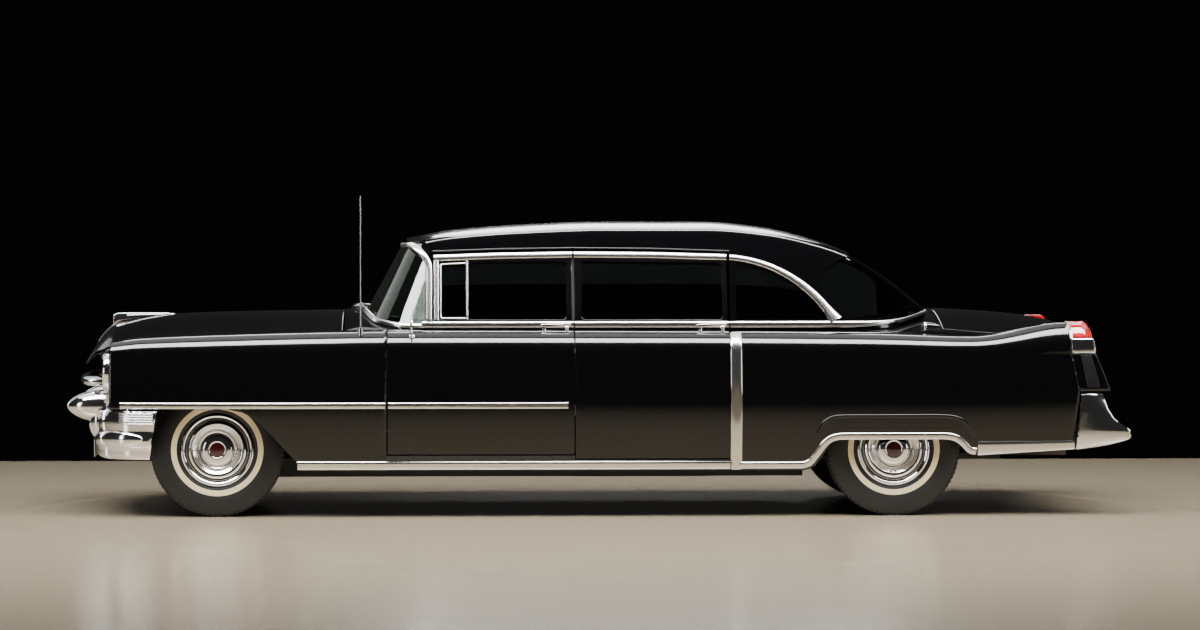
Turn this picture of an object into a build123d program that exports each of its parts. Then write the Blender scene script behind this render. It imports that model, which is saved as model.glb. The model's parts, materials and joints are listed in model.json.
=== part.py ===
import os
from math import cos, radians, sin, tan

from build123d import *

# Long-wheelbase limousine, in millimetres. Nose towards -X, left side towards -Y, floor at Z 0,
# origin on the floor under the middle of the overall box.

# ---- driving dimensions
overall_length = 6022
wheelbase = 3805
front_overhang = 865
front_track = 1524
rear_track = 1603
tyre_radius = 376
tyre_width = 208
rim_radius = 190
floor_z = 300
floor_plate = 26
belt_z = 1098
lean = 0.38               # inward lean of the side glass for each unit of height

# ---- walls and clearances
panel = 26                # single-skin panels with their frames
quarter_wall = 40
arch_skin = 10            # the front fender over the steered wheel
door_skin = 16
door_wall = 80
window_frame = 34         # thickness of the pillars and of the doors' window frames
roof_wall = 38
door_gap = 8
lid_gap = 8
jamb_step = 30            # the inner half of a door stands this far back at its rear edge
seat_gap = 0.3
glass = 6
pane_inset = 14           # side glass set back from the frames' outer face
bore_fit = 0.05
pin_r = 2.5               # hinge pins, which stand in the shut lines
pin_fit = 0.3
pin_half = 60

front_axle_x = front_overhang - overall_length / 2
rear_axle_x = front_axle_x + wheelbase

# ---- shut lines, measured rearward from the front axle
hood_rear = 702
door_front = 952
door_middle = 2004
door_rear = 2882
front_door_bottom = 355
rear_door_bottom = 330
sill_bottom = 262
post_front = 1168         # windshield post at the side glass
post_rear = 1214
fender_nose = -602
side_tail = 4950
lid_front = 4106
lid_half = 700


def at(distance):
    """X of a place given by its distance behind the front axle."""
    return front_axle_x + distance


# ---- body sides: distance behind the front axle, half width, crest y, crest z, inner z
side_rows = [
    (-602, 915, 790, 985, 958),
    (-450, 950, 805, 1008, 978),
    (0, 990, 830, 1030, 1001),
    (640, 1006, 853, 1047, 1024),
    (952, 1010, 866, 1050, 1056),
    (2882, 1014, 868, 1045, 1056),
    (3700, 1008, 862, 1035, 1050),
    (4250, 995, 855, 1018, 1006),
    (4740, 972, 862, 1090, 960),
    (5040, 950, 866, 1095, 960),
]
side_inner_y = 600
# ---- seam of the fenders with the hood, the cowl and the deck: distance behind the front axle, y
seam_rows = [
    (-702, 648),
    (0, 655),
    (706, 690),
    (952, 820),
    (2882, 820),
    (3700, 815),
    (4250, 745),
    (4740, 760),
    (5100, 770),
]
# ---- hood: distance behind the front axle, edge y, edge z, crown z, thickness
hood_rows = [
    (-748, 560, 868, 905, 60),
    (-692, 605, 925, 1000, 50),
    (-600, 690, 945, 1074, 32),
    (-138, 690, 988, 1130, 26),
    (702, 730, 1024, 1147, 26),
]
# ---- cabin top: distance behind the front axle, half width at the belt, crown z
cabin_rows = [
    (1062, 838, 1560),
    (1311, 845, 1607),
    (1700, 845, 1639),
    (2185, 845, 1657),
    (2768, 845, 1657),
    (3120, 840, 1626),
    (3354, 828, 1574),
    (3588, 790, 1492),
    (3823, 700, 1341),
    (4040, 480, 1165),
]
# ---- rear deck and boot lid: distance behind the front axle, edge y, edge z, crown z
deck_rows = [
    (3500, 832, 1046, 1155),
    (4117, 790, 1016, 1151),
    (4411, 770, 1000, 1136),
    (4793, 770, 1000, 1086),
    (4890, 770, 955, 1030),
    (4945, 770, 870, 930),
]
deck_floor = 560
lid_bottom = 700
# ---- cowl: distance behind the front axle, edge y, edge z, crown z
cowl_rows = [
    (710, 700, 1036, 1149),
    (800, 800, 1044, 1158),
    (960, 830, 1052, 1146),
    (post_front, 830, 1055, 1112),
]
plenum_floor = 990
front_pin_y = 1006
rear_pin_y = 1008
pin_low = 570
pin_high = 630
hood_pin_z = 1144
lid_pin_z = 1148
kick_up = 3230
boot_floor_z = 520
tunnel_half = 130
tunnel_top = 440
firewall = 800
# ---- windshield in plan: height, side end, bulge, corner, middle x
screen_rows = [
    (980, (1192, 878), (940, 800), (815, 590), 742),
    (1720, (1247, 603), (1200, 545), (1162, 399), 1141),
]
screen_back = 4400
header_side = 1425
rail_share = 0.72
jamb_bevel = 24
frame_back = 8            # a window frame's rear edge stands this far ahead of the door's
# inboard of swing_from a door's rear edge leans forward, so that its corner swings out freely
swing_from, swing_to, swing_cut = 934, 780, 20


def side_section(row, inset=0, inboard=0):
    distance, half, crest_y, crest_z, inner_z = row
    with BuildSketch(Plane.YZ.offset(at(distance))) as section:
        with BuildLine():
            low = (half - 45 - inset, sill_bottom - inboard)
            waist = (half - inset, 600)
            shoulder = (half - 20 - inset, 900)
            crest = (crest_y - 0.3 * inset, crest_z - inset)
            inner = (side_inner_y - inboard, inner_z - inset)
            bulge = (crest[0] + 0.75 * (shoulder[0] - crest[0]), crest[1] - 0.33 * (crest[1] - shoulder[1]))
            Line(inner, crest)
            ThreePointArc(crest, bulge, shoulder)
            ThreePointArc(shoulder, waist, low)
            Polyline(low, (inner[0], low[1]), inner)
        make_face()
    return section.sketch


def side_form(inset=0, inboard=0):
    with BuildPart() as form:
        loft([side_section(row, inset, inboard) for row in side_rows], ruled=True)
    return form.part


def outboard(shift=0, side=1):
    """Everything outside the seam line, in plan; shift moves the line outward."""
    seam = [(at(x), (y + shift) * side) for x, y in seam_rows]
    with BuildPart() as prism:
        with BuildSketch(Plane.XY):
            with BuildLine():
                Polyline([*seam, (seam[-1][0], 1300 * side), (seam[0][0], 1300 * side)], close=True)
            make_face()
        extrude(amount=1400)
    return prism.part


def elevation(points, depth=1300):
    """A prism over the right half of the body, from an outline in side view."""
    with BuildPart() as prism:
        with BuildSketch(Plane.XZ):
            with BuildLine():
                Polyline([(at(x), z) for x, z in points], close=True)
            make_face()
        extrude(amount=-depth)
    return prism.part


def block(x0, x1, y0, y1, z0, z1):
    """A box between corners, x measured behind the front axle."""
    with BuildPart(Location((at((x0 + x1) / 2), (y0 + y1) / 2, (z0 + z1) / 2))) as box:
        Box(abs(x1 - x0), abs(y1 - y0), abs(z1 - z0))
    return box.part


def hinge_pin(shut, root, y, low, high):
    """An upright pin beside a door's front edge, with its web back to what carries it."""
    x = shut + door_gap / 2 - pin_fit - pin_r
    with BuildPart() as pin:
        with BuildSketch(Plane.XY.offset(low)):
            with Locations((at(x), y)):
                Circle(pin_r)
        extrude(amount=high - low)
        add(block(root[0], x if root[0] < x - pin_r else x + pin_r, root[1], y, low, high))
    return pin.part


def lid_pin(x, z, root):
    """A level pin across the middle of a lid's hinge line, with its web to the panel behind or before it."""
    with BuildPart() as pin:
        with BuildSketch(Plane.XZ.offset(-pin_half)):
            with Locations((at(x), z)):
                Circle(pin_r)
        extrude(amount=2 * pin_half)
        add(block(root, x, -pin_half, pin_half, z - pin_r, z + pin_r))
    return pin.part


def mirrored(piece):
    return mirror(piece, about=Plane.XZ, mode=Mode.PRIVATE)


def save(piece, name):
    piece.label = name
    export_step(piece, f"parts/{name}.step")


os.makedirs("parts", exist_ok=True)

side_outer = side_form()
side_skin = side_form(door_skin, 60)
side_panel = side_form(panel, 60)
side_quarter = side_form(quarter_wall, 60)
side_arch = side_form(arch_skin, 60)
side_lining = side_form(door_wall, 60)
side_left = mirrored(side_outer)
sides_off = {gap: [outboard(-gap, 1), outboard(-gap, -1)] for gap in (0, door_gap)}

# ---- front fenders
arch_top = 609
with BuildPart() as fender:
    add(side_outer)
    add(side_panel & block(fender_nose + 40, side_tail, 0, 1200, 0, 1200), mode=Mode.SUBTRACT)
    add(side_arch & block(-440, 440, 600, 1200, 0, 790), mode=Mode.SUBTRACT)
    add(elevation([
        (fender_nose, 1250), (fender_nose, arch_top), (60, arch_top), (180, 560), (450, 262),
        (door_front - door_gap / 2, 262), (door_front - door_gap / 2, 1250),
    ]), mode=Mode.INTERSECT)
    add(sides_off[0][0], mode=Mode.INTERSECT)
    add(hinge_pin(door_front, (door_front - door_gap / 2 - 6, 990), front_pin_y, pin_low, pin_high))
save(fender.part, "front_fender_right")
save(mirrored(fender.part), "front_fender_left")

# ---- quarter panels
with BuildPart() as tail_cap:
    add(side_outer)
    add(sides_off[0][0], mode=Mode.INTERSECT)
    add(elevation([(4852, 696), (5030, 712), (4944, 916), (4809, 916), (4809, 890), (4918, 890), (4986, 730),
                   (4852, 720)]), mode=Mode.INTERSECT)
with BuildPart() as quarter:
    add(side_outer)
    add(side_quarter, mode=Mode.SUBTRACT)
    add(elevation([
        (door_rear + door_gap / 2, 1250), (door_rear + door_gap / 2, 262), (3350, 262), (3465, 433),
        (4115, 433), (4230, 345), (4805, 374), (4852, 696), (5030, 712), (4944, 916), (4809, 916), (4786, 1250),
    ]), mode=Mode.INTERSECT)
    add(sides_off[0][0], mode=Mode.INTERSECT)
    add(tail_cap.part)
save(quarter.part, "quarter_right")
save(mirrored(quarter.part), "quarter_left")


# ---- hood, rear deck and boot lid
def crest_section(distance, edge_y, edge_z, crown_z, low_z=None, thick=None):
    with BuildSketch(Plane.YZ.offset(at(distance))) as section:
        with BuildLine():
            ThreePointArc((-edge_y, edge_z), (0, crown_z), (edge_y, edge_z))
            if thick:
                Line((edge_y, edge_z), (edge_y, edge_z - thick))
                ThreePointArc((edge_y, edge_z - thick), (0, crown_z - thick), (-edge_y, edge_z - thick))
                Line((-edge_y, edge_z - thick), (-edge_y, edge_z))
            else:
                Polyline((edge_y, edge_z), (edge_y, low_z), (-edge_y, low_z), (-edge_y, edge_z))
        make_face()
    return section.sketch


ornament = [(-640, 1030), (-600, 1056), (-265, 1098), (-265, 1120), (-320, 1129), (-600, 1129), (-640, 1112)]
ornament_half = 12
with BuildPart() as hood:
    loft([crest_section(x, y, z, crown, thick=t) for x, y, z, crown, t in hood_rows], ruled=True)
    add(sides_off[door_gap], mode=Mode.SUBTRACT)
    for side in (1, -1):
        add(elevation(ornament, ornament_half * side))
save(hood.part, "hood")

with BuildPart() as deck_block:
    loft([crest_section(x, y, z, crown, low_z=deck_floor) for x, y, z, crown in deck_rows], ruled=True)
with BuildPart() as deck_void:
    loft([crest_section(x - panel, y + 30, z - panel - 6, crown - panel, low_z=deck_floor - 60)
          for x, y, z, crown in deck_rows], ruled=True)
with BuildPart() as deck_shell:
    add(deck_block.part)
    add(deck_void.part, mode=Mode.SUBTRACT)
with BuildPart() as trunk_lid:
    add(deck_shell.part)
    add(block(lid_front, 5000, -lid_half, lid_half, lid_bottom, 1300), mode=Mode.INTERSECT)
save(trunk_lid.part, "trunk_lid")


# ---- cabin top
def cabin_section(distance, belt_y, crown_z, inset=0, foot=0):
    rail_z = belt_z + rail_share * (crown_z - belt_z)
    rail_y = belt_y - lean * (rail_z - belt_z)
    half = belt_y - inset
    rail = (rail_y - inset, rail_z - 0.3 * inset)
    crown = crown_z - inset
    shoulder = (0.74 * rail_y - 0.6 * inset, crown_z - 0.22 * (crown_z - rail_z) - inset)
    bulge = (0.93 * rail_y - 0.9 * inset, rail_z + 0.54 * (crown_z - rail_z) - 0.7 * inset)
    foot_y = half + 10
    foot_z = belt_z - 60 - foot
    with BuildSketch(Plane.YZ.offset(at(distance))) as section:
        with BuildLine():
            ThreePointArc((-shoulder[0], shoulder[1]), (0, crown), shoulder)
            ThreePointArc(shoulder, bulge, rail)
            Polyline(rail, (half, belt_z), (foot_y, foot_z), (-foot_y, foot_z), (-half, belt_z), (-rail[0], rail[1]))
            ThreePointArc((-rail[0], rail[1]), (-bulge[0], bulge[1]), (-shoulder[0], shoulder[1]))
        make_face()
    return section.sketch


def cabin_form(inset=0):
    with BuildPart() as form:
        loft([cabin_section(*row, inset=inset, foot=60 if inset else 0) for row in cabin_rows], ruled=True)
    return form.part


def screen_form(inset=0):
    """The space behind the windshield's outer face, down to the cowl."""
    with BuildPart() as form:
        for height, side, bulge, corner, middle in screen_rows:
            with BuildSketch(Plane.XY.offset(height)):
                with BuildLine():
                    front = [(at(x + inset), y - inset) for x, y in (side, bulge, corner)]
                    centre = (at(middle + inset), 0)
                    ThreePointArc(*front)
                    ThreePointArc(front[2], centre, (front[2][0], -front[2][1]))
                    ThreePointArc((front[2][0], -front[2][1]), (front[1][0], -front[1][1]), (front[0][0], -front[0][1]))
                    back = at(screen_back)
                    Polyline((front[0][0], -front[0][1]), (back, -front[0][1]), (back, front[0][1]), front[0])
                make_face()
        loft(ruled=True)
    return form.part


cabin_outer = cabin_form()
cabin_inner = cabin_form(roof_wall)
cabin_frame_inner = cabin_form(window_frame)
pane_outer = cabin_form(pane_inset)
pane_inner = cabin_form(pane_inset + glass)
screen_outer = screen_form()
screen_inner = screen_form(glass)

door_top = [(post_rear, 1455), (door_middle, 1470), (door_rear, 1456)]
pane_bottom = belt_z + 8
front_pane = [(post_rear + 28, pane_bottom), (door_middle - 44, pane_bottom), (door_middle - 44, 1434),
              (post_rear + 28, 1424)]
rear_pane = [(door_middle + 44, pane_bottom), (door_rear - 40, pane_bottom), (door_rear - 40, 1424),
             (door_middle + 44, 1434)]

with BuildPart() as quarter_pane_form:
    with BuildSketch(Plane.XZ):
        with BuildLine():
            corner = (at(door_rear + 40), pane_bottom)
            top = (at(door_rear + 40), 1420)
            end = (at(3452), pane_bottom)
            Line(corner, top)
            ThreePointArc(top, (at(3200), 1338), end)
            Line(end, corner)
        make_face()
    extrude(amount=1300, both=True)
quarter_pane = quarter_pane_form.part

with BuildPart() as backlight_form:
    with BuildSketch(Plane.XZ):
        with BuildLine():
            low = (at(3548), pane_bottom + 4)
            high = (at(3392), 1290)
            crown = (at(3560), 1452)
            Line(low, high)
            ThreePointArc(high, (at(3446), 1392), crown)
            Polyline(crown, (at(3700), 1560), (at(4300), 1300), (at(4300), pane_bottom + 40), low)
        make_face()
    extrude(amount=1300, both=True)
backlight_cut = backlight_form.part


def panes(cut):
    """Glass of even thickness, set back from the cabin's outer surface inside a cut."""
    with BuildPart() as pane:
        add(pane_outer)
        add(pane_inner, mode=Mode.SUBTRACT)
        add(cut, mode=Mode.INTERSECT)
    return pane.part


with BuildPart() as roof:
    add(cabin_outer)
    add(cabin_inner, mode=Mode.SUBTRACT)
    add(screen_outer, mode=Mode.INTERSECT)
    for side in (1, -1):
        doorway = elevation([(post_rear - door_gap, 900), (post_rear - door_gap, door_top[0][1] + door_gap),
                             (door_middle, door_top[1][1] + door_gap),
                             (door_rear + door_gap / 2, door_top[2][1] + door_gap),
                             (door_rear + door_gap / 2, 900)], 1300 * side)
        screen_side = elevation([(700, 900), (700, 1516), (1062, 1516), (post_front, header_side),
                                 (post_front, 900)], 1300 * side)
        add(doorway, mode=Mode.SUBTRACT)
        add(screen_side, mode=Mode.SUBTRACT)
    add(quarter_pane, mode=Mode.SUBTRACT)
    add(backlight_cut, mode=Mode.SUBTRACT)
    add(deck_block.part, mode=Mode.SUBTRACT)
    add(side_outer, mode=Mode.SUBTRACT)
    add(side_left, mode=Mode.SUBTRACT)
    add(block(post_front - 10, post_rear + 10, -1000, 1000, 1000, 1062), mode=Mode.SUBTRACT)
save(roof.part.solids().sort_by(SortBy.VOLUME)[-1], "roof")
save(panes(quarter_pane), "quarter_glass")
with BuildPart() as backlight:
    add(panes(backlight_cut))
    add(deck_block.part, mode=Mode.SUBTRACT)
save(backlight.part, "backlight")

with BuildPart() as windshield:
    add(screen_outer)
    add(screen_inner, mode=Mode.SUBTRACT)
    for side in (1, -1):
        add(elevation([(700, 1516), (1060, 1516), (post_front, header_side - 2), (post_front, 1700), (700, 1700)],
                      1300 * side), mode=Mode.SUBTRACT)
    add(block(post_front - 1, screen_back + 20, -1000, 1000, 900, 1700), mode=Mode.SUBTRACT)

with BuildPart() as rear_deck:
    add(deck_shell.part)
    add(block(4840, 5000, -900, 900, deck_floor - 60, lid_bottom - lid_gap), mode=Mode.SUBTRACT)
    add(block(4900, 4926, -800, 800, boot_floor_z + 10, lid_bottom - lid_gap))
    add(cabin_inner, mode=Mode.SUBTRACT)
    add(sides_off[0], mode=Mode.SUBTRACT)
    add(block(lid_front - lid_gap, 5000, -lid_half - lid_gap, lid_half + lid_gap, lid_bottom - lid_gap, 1300),
        mode=Mode.SUBTRACT)
    add(lid_pin(lid_front - pin_fit - pin_r, lid_pin_z, lid_front - lid_gap - 4))
save(rear_deck.part, "rear_deck")

with BuildPart() as cowl_block:
    loft([crest_section(x, y, z, crown, low_z=plenum_floor) for x, y, z, crown in cowl_rows], ruled=True)
with BuildPart() as cowl:
    add(cowl_block.part)
    add(screen_form(40), mode=Mode.SUBTRACT)
    add(sides_off[door_gap], mode=Mode.SUBTRACT)
    add(block(firewall, firewall + 24, -700, 700, floor_z, plenum_floor))
    add(block(firewall, firewall + 24, -tunnel_half, tunnel_half, floor_z, tunnel_top), mode=Mode.SUBTRACT)
    for side in (1, -1):
        wing = block(firewall, firewall + 24, 700 * side, 1200 * side, floor_z, plenum_floor)
        post = block(868, door_front - 4, 760 * side, 1200 * side, floor_z + floor_plate, 960)
        web = block(firewall + 24, 870, 760 * side, 784 * side, floor_z + floor_plate, 960)
        add((wing + post) & (side_panel if side > 0 else mirrored(side_panel)))
        add(web)
        add(block(post_front, post_rear - door_gap, 770 * side, (820 - door_gap) * side, plenum_floor, 1080))
        add(block(post_front, post_rear - door_gap, 770 * side, 812 * side, 1062, 1080))
    add(roof.part, mode=Mode.SUBTRACT)
    add(lid_pin(hood_rear + pin_fit + pin_r, hood_pin_z, cowl_rows[0][0] + 4))
with BuildPart() as windshield_cut:
    add(windshield.part)
    add(cowl_block.part, mode=Mode.SUBTRACT)
    for side in (1, -1):
        add(block(700, post_front, (820 - door_gap) * side, 1000 * side, 900, 1064), mode=Mode.SUBTRACT)
save(windshield_cut.part.solids().sort_by(SortBy.VOLUME)[-1], "windshield")
save(cowl.part, "cowl")


# ---- doors
def door(front, rear, bottom, pane, lead, top):
    clear = door_gap / 2
    lower = [(front + clear, 1250), (front + clear, bottom), (rear - clear, bottom), (rear - clear, 1250)]
    lining = [(front + clear, 1250), (front + clear, bottom), (rear - clear - jamb_step, bottom),
              (rear - clear - jamb_step, 1250)]
    with BuildPart() as lower_skin:
        add(side_outer)
        add(side_skin, mode=Mode.SUBTRACT)
        add(elevation(lower), mode=Mode.INTERSECT)
    with BuildPart() as lower_lining:
        add(side_skin)
        add(side_lining, mode=Mode.SUBTRACT)
        add(elevation(lining), mode=Mode.INTERSECT)
    with BuildPart() as frame:
        add(cabin_outer)
        add(cabin_frame_inner, mode=Mode.SUBTRACT)
        add(elevation([(lead, 1046), (lead, top[0]), (rear - clear - frame_back, top[1]),
                       (rear - clear - frame_back, 1046)]), mode=Mode.INTERSECT)
        add(elevation(pane), mode=Mode.SUBTRACT)
        with BuildSketch(Plane.XY.offset(belt_z - 60)):
            with BuildLine():
                edge = at(rear - clear - frame_back)
                outside = cabin_rows[1][1] + lean * 60
                Polyline((edge, outside), (edge + 40, outside), (edge + 40, outside - 100),
                         (edge - 100 * tan(radians(jamb_bevel)), outside - 100), close=True)
            make_face()
        extrude(amount=520, dir=(0, -lean, 1), mode=Mode.SUBTRACT)
    with BuildPart() as whole:
        add(lower_skin.part)
        add(lower_lining.part)
        add(sides_off[0][0], mode=Mode.INTERSECT)
        with BuildSketch(Plane.XY.offset(600)):
            with BuildLine():
                edge = at(rear - clear)
                Polyline((edge, swing_from), (edge + 40, swing_from), (edge + 40, swing_to),
                         (edge - swing_cut, swing_to), close=True)
            make_face()
        extrude(amount=600, mode=Mode.SUBTRACT)
        add(frame.part)
    return whole.part


door_rows = [
    ("front", door_front, door_middle, front_door_bottom, front_pane, post_rear, (1455, 1470)),
    ("rear", door_middle, door_rear, rear_door_bottom, rear_pane, door_middle + door_gap / 2, (1470, 1456)),
]
for place, front, rear, bottom, pane, lead, top in door_rows:
    leaf = door(front, rear, bottom, pane, lead, top)
    light = panes(elevation(pane))
    save(leaf, f"door_{place}_right")
    save(mirrored(leaf), f"door_{place}_left")
    save(light, f"door_{place}_glass_right")
    save(mirrored(light), f"door_{place}_glass_left")


# ---- floor, sills and pillars
sill_top = {"front": front_door_bottom - door_gap, "rear": rear_door_bottom - door_gap}
with BuildPart() as sill:
    add(side_outer)
    add(elevation([(door_front - door_gap / 2, sill_bottom), (door_rear + door_gap / 2, sill_bottom),
                   (door_rear + door_gap / 2, sill_top["rear"]), (door_middle, sill_top["rear"]),
                   (door_middle, sill_top["front"]), (door_front - door_gap / 2, sill_top["front"])]),
        mode=Mode.INTERSECT)
    add(block(900, 2900, 850, 1200, 200, 400), mode=Mode.INTERSECT)
pillar_clear = side_form(door_wall + 2 * door_gap, 60)
pillar_belt = cabin_rows[2][1] - window_frame - door_gap
with BuildPart() as pillar:
    with BuildSketch(Plane.XY.offset(belt_z)):
        with Locations((at(door_middle), pillar_belt - 20)):
            Rectangle(60, 40)
    extrude(amount=470, dir=(0, -lean, 1))
    add(cabin_inner, mode=Mode.INTERSECT)
    add(block(door_middle - 30, door_middle + 30, pillar_belt - 40, pillar_belt, 900, belt_z))
with BuildPart() as pillar_low:
    add(block(door_middle - 30, door_middle + 30, pillar_belt - 40, 1000, floor_z, 980))
    add(pillar_clear, mode=Mode.INTERSECT)
    add(hinge_pin(door_middle, (door_middle - 1.3, 880), rear_pin_y, pin_low, pin_high))
with BuildPart() as floor_pan:
    add(block(firewall + 24, kick_up, -900, 900, floor_z, floor_z + floor_plate))
    add(block(kick_up - 20, kick_up, -620, 620, floor_z, boot_floor_z + 20))
    add(block(kick_up - 20, 4880, -620, 620, boot_floor_z, boot_floor_z + 20))
    for side in (1, -1):
        add(block(kick_up - 20, 4400, 600 * side, 620 * side, boot_floor_z, 800))
        add(block(kick_up - 20, 4400, 600 * side, 930 * side, 780, 800))
        add(block(kick_up - 20, kick_up, 600 * side, 930 * side, floor_z, 800))
        add(block(4380, 4400, 600 * side, 930 * side, boot_floor_z, 800))
        add(block(4380, 4880, 600 * side, 780 * side, boot_floor_z, boot_floor_z + 20))
    add(block(firewall + 24, kick_up, -tunnel_half, tunnel_half, floor_z, tunnel_top))
    add(block(firewall, kick_up + 20, 20 - tunnel_half, tunnel_half - 20, 0, tunnel_top - 20), mode=Mode.SUBTRACT)
    add(sill.part)
    add(mirrored(sill.part))
    add(pillar_low.part)
    add(mirrored(pillar_low.part))
    add(pillar.part)
    add(mirrored(pillar.part))
save(floor_pan.part, "floor_pan")

# ---- frame and running gear
rail_y = 400
rail_low = 200
rail_high = floor_z
# the front horns lie higher than the rails, which rise to them ahead of the axle
horn_tip = -540
horn_low = 330
horn_high = 420
rise = -240
with BuildPart() as chassis:
    for side in (1, -1):
        add(block(rise, 3330, (rail_y - 40) * side, (rail_y + 40) * side, rail_low, rail_high))
        add(block(rise, rise + 80, (rail_y - 40) * side, (rail_y + 40) * side, rail_low, horn_high))
        add(block(horn_tip, rise + 80, (rail_y - 40) * side, (rail_y + 40) * side, horn_low, horn_high))
        add(block(kick_up + 10, 3330, (rail_y - 40) * side, (rail_y + 40) * side, rail_low, boot_floor_z))
        add(block(kick_up + 10, 4860, (rail_y - 40) * side, (rail_y + 40) * side, boot_floor_z - 80, boot_floor_z))
    add(block(horn_tip + 20, horn_tip + 110, -rail_y, rail_y, horn_low + 20, horn_high - 20))
    for x in (900, 1900, 2950):
        add(block(x, x + 90, -rail_y, rail_y, rail_low + 40, rail_high - 20))
    add(block(4760, 4860, -rail_y, rail_y, boot_floor_z - 80, boot_floor_z))
save(chassis.part, "chassis_frame")

hub_z = tyre_radius
spindle_r = 30
kingpin_offset = 116
kingpin_y = front_track / 2 - kingpin_offset
upright_r = 25
upright_half = 110
tyre_half = tyre_width / 2
flange_r = rim_radius + 12
cover_r = 204
spindle_end = 52


def tyre(axle_x, track):
    centre = (axle_x, track / 2, hub_z)
    with BuildPart() as ring:
        with BuildSketch(Plane(origin=centre)):
            with BuildLine():
                bead = (rim_radius, tyre_half - 22)
                wall = (0.5 * (rim_radius + tyre_radius), tyre_half)
                shoulder = (tyre_radius - 12, tyre_half - 24)
                tread = (tyre_radius, tyre_half - 40)
                ThreePointArc(bead, wall, shoulder)
                Polyline(shoulder, tread, (tread[0], -tread[1]), (shoulder[0], -shoulder[1]))
                ThreePointArc((shoulder[0], -shoulder[1]), (wall[0], -wall[1]), (bead[0], -bead[1]))
                Line((bead[0], -bead[1]), bead)
            make_face()
        revolve(axis=Axis(centre, (0, 1, 0)))
    return ring.part


def wheel(axle_x, track):
    centre = (axle_x, track / 2, hub_z)
    with BuildPart() as disc:
        with BuildSketch(Plane(origin=centre)):
            with BuildLine():
                edge = tyre_half - 22
                lip = tyre_half - 12
                bore = spindle_r + bore_fit
                Polyline((0, spindle_end + 4), (bore, spindle_end + 4), (bore, -30), (60, -30), (60, 40),
                         (rim_radius - 16, 40), (rim_radius - 16, -edge), (rim_radius, -edge), (rim_radius, lip),
                         (cover_r, lip + 2), (cover_r - 6, lip + 8), (160, lip + 10), (88, lip - 6),
                         (80, lip + 14), (0, lip + 20), close=True)
            make_face()
        revolve(axis=Axis(centre, (0, 1, 0)))
    return disc.part


wheel_rows = [("front", front_axle_x, front_track), ("rear", rear_axle_x, rear_track)]
for place, axle_x, track in wheel_rows:
    ring = tyre(axle_x, track)
    disc = wheel(axle_x, track)
    save(ring, f"tyre_{place}_right")
    save(mirrored(ring), f"tyre_{place}_left")
    save(disc, f"wheel_{place}_right")
    save(mirrored(disc), f"wheel_{place}_left")


def along_y(radius, x, z, y0, y1):
    with BuildPart(Plane.XZ) as rod:
        with BuildSketch(Plane.XZ.offset(-y0)):
            with Locations((at(x), z)):
                Circle(radius)
        extrude(amount=y0 - y1)
    return rod.part


with BuildPart() as knuckle:
    add(along_y(spindle_r, 0, hub_z, kingpin_y, front_track / 2 + spindle_end))
    with BuildSketch(Plane.XY.offset(hub_z - upright_half)):
        with Locations((front_axle_x, kingpin_y)):
            Circle(upright_r)
    extrude(amount=2 * upright_half)
save(knuckle.part, "knuckle_right")
save(mirrored(knuckle.part), "knuckle_left")

arm_low = hub_z - upright_half - seat_gap
arm_high = hub_z + upright_half + seat_gap
with BuildPart() as suspension:
    add(block(-90, 90, -rail_y + 40, rail_y - 40, rail_low + 20, rail_high))
    for side in (1, -1):
        for low, high in ((arm_low - 34, arm_low), (arm_high, arm_high + 24)):
            add(block(-upright_r, upright_r, rail_y * side, (kingpin_y + upright_r) * side, low, high))
        add(block(-70, 70, rail_y * side, (rail_y + 60) * side, rail_high, arm_high + 24))
        with BuildSketch(Plane.XY.offset(arm_low - 10)):
            with Locations((front_axle_x, (rail_y + 150) * side)):
                Circle(50)
        extrude(amount=arm_high - arm_low + 20)
    add(chassis.part, mode=Mode.SUBTRACT)
save(suspension.part, "front_suspension")

axle_tube = 44
leaf_y = 565
with BuildPart() as rear_axle:
    add(along_y(axle_tube, wheelbase, hub_z, -rear_track / 2 + 120, rear_track / 2 - 120))
    for side in (1, -1):
        add(along_y(spindle_r, wheelbase, hub_z, (rear_track / 2 - 130) * side, (rear_track / 2 + spindle_end) * side))
        add(block(3250, 4450, (leaf_y - 25) * side, (leaf_y + 25) * side, hub_z - axle_tube - 30, hub_z - axle_tube + 2))
        for x in (3250, 4430):
            add(block(x, x + 20, (rail_y + 40) * side, (leaf_y + 25) * side, hub_z - axle_tube - 30, boot_floor_z))
    with Locations((rear_axle_x, 0, hub_z)):
        Sphere(95)
save(rear_axle.part, "rear_axle")

shaft_z = 345
with BuildPart() as engine:
    add(block(-250, 560, -300, 300, rail_high, 900))
save(engine.part, "engine")
with BuildPart() as driveline:
    add(block(560, 1240, -110, 110, rail_high - 20, 410))
    with BuildSketch(Plane.YZ.offset(at(1240))):
        with Locations((0, shaft_z)):
            Circle(38)
    extrude(amount=wheelbase - 90 - 1240 + 20)
    add(rear_axle.part, mode=Mode.SUBTRACT)
save(driveline.part.solids().sort_by(SortBy.VOLUME)[-1], "driveline")

pipe_y = 300
with BuildPart() as exhaust:
    with BuildLine(Plane.XZ.offset(-pipe_y)) as route:
        FilletPolyline((at(500), rail_high), (at(500), 205), (at(3240), 205), (at(3500), 475), (at(4150), 475),
                       (at(4450), 300), (at(4960), 300), radius=60)
    with BuildSketch(Plane.XY.offset(rail_high)):
        with Locations((at(500), pipe_y)):
            Circle(26)
    sweep(path=route.wires()[0])
    with BuildSketch(Plane.YZ.offset(at(2050))):
        with Locations((pipe_y, 215)):
            Ellipse(55, 62)
    extrude(amount=780)
save(exhaust.part, "exhaust")


# ---- bumpers, grille, lamps and plates
bumper_wrap = -315        # the ends stand outside the steered tyres
bumper_end = 16


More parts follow.
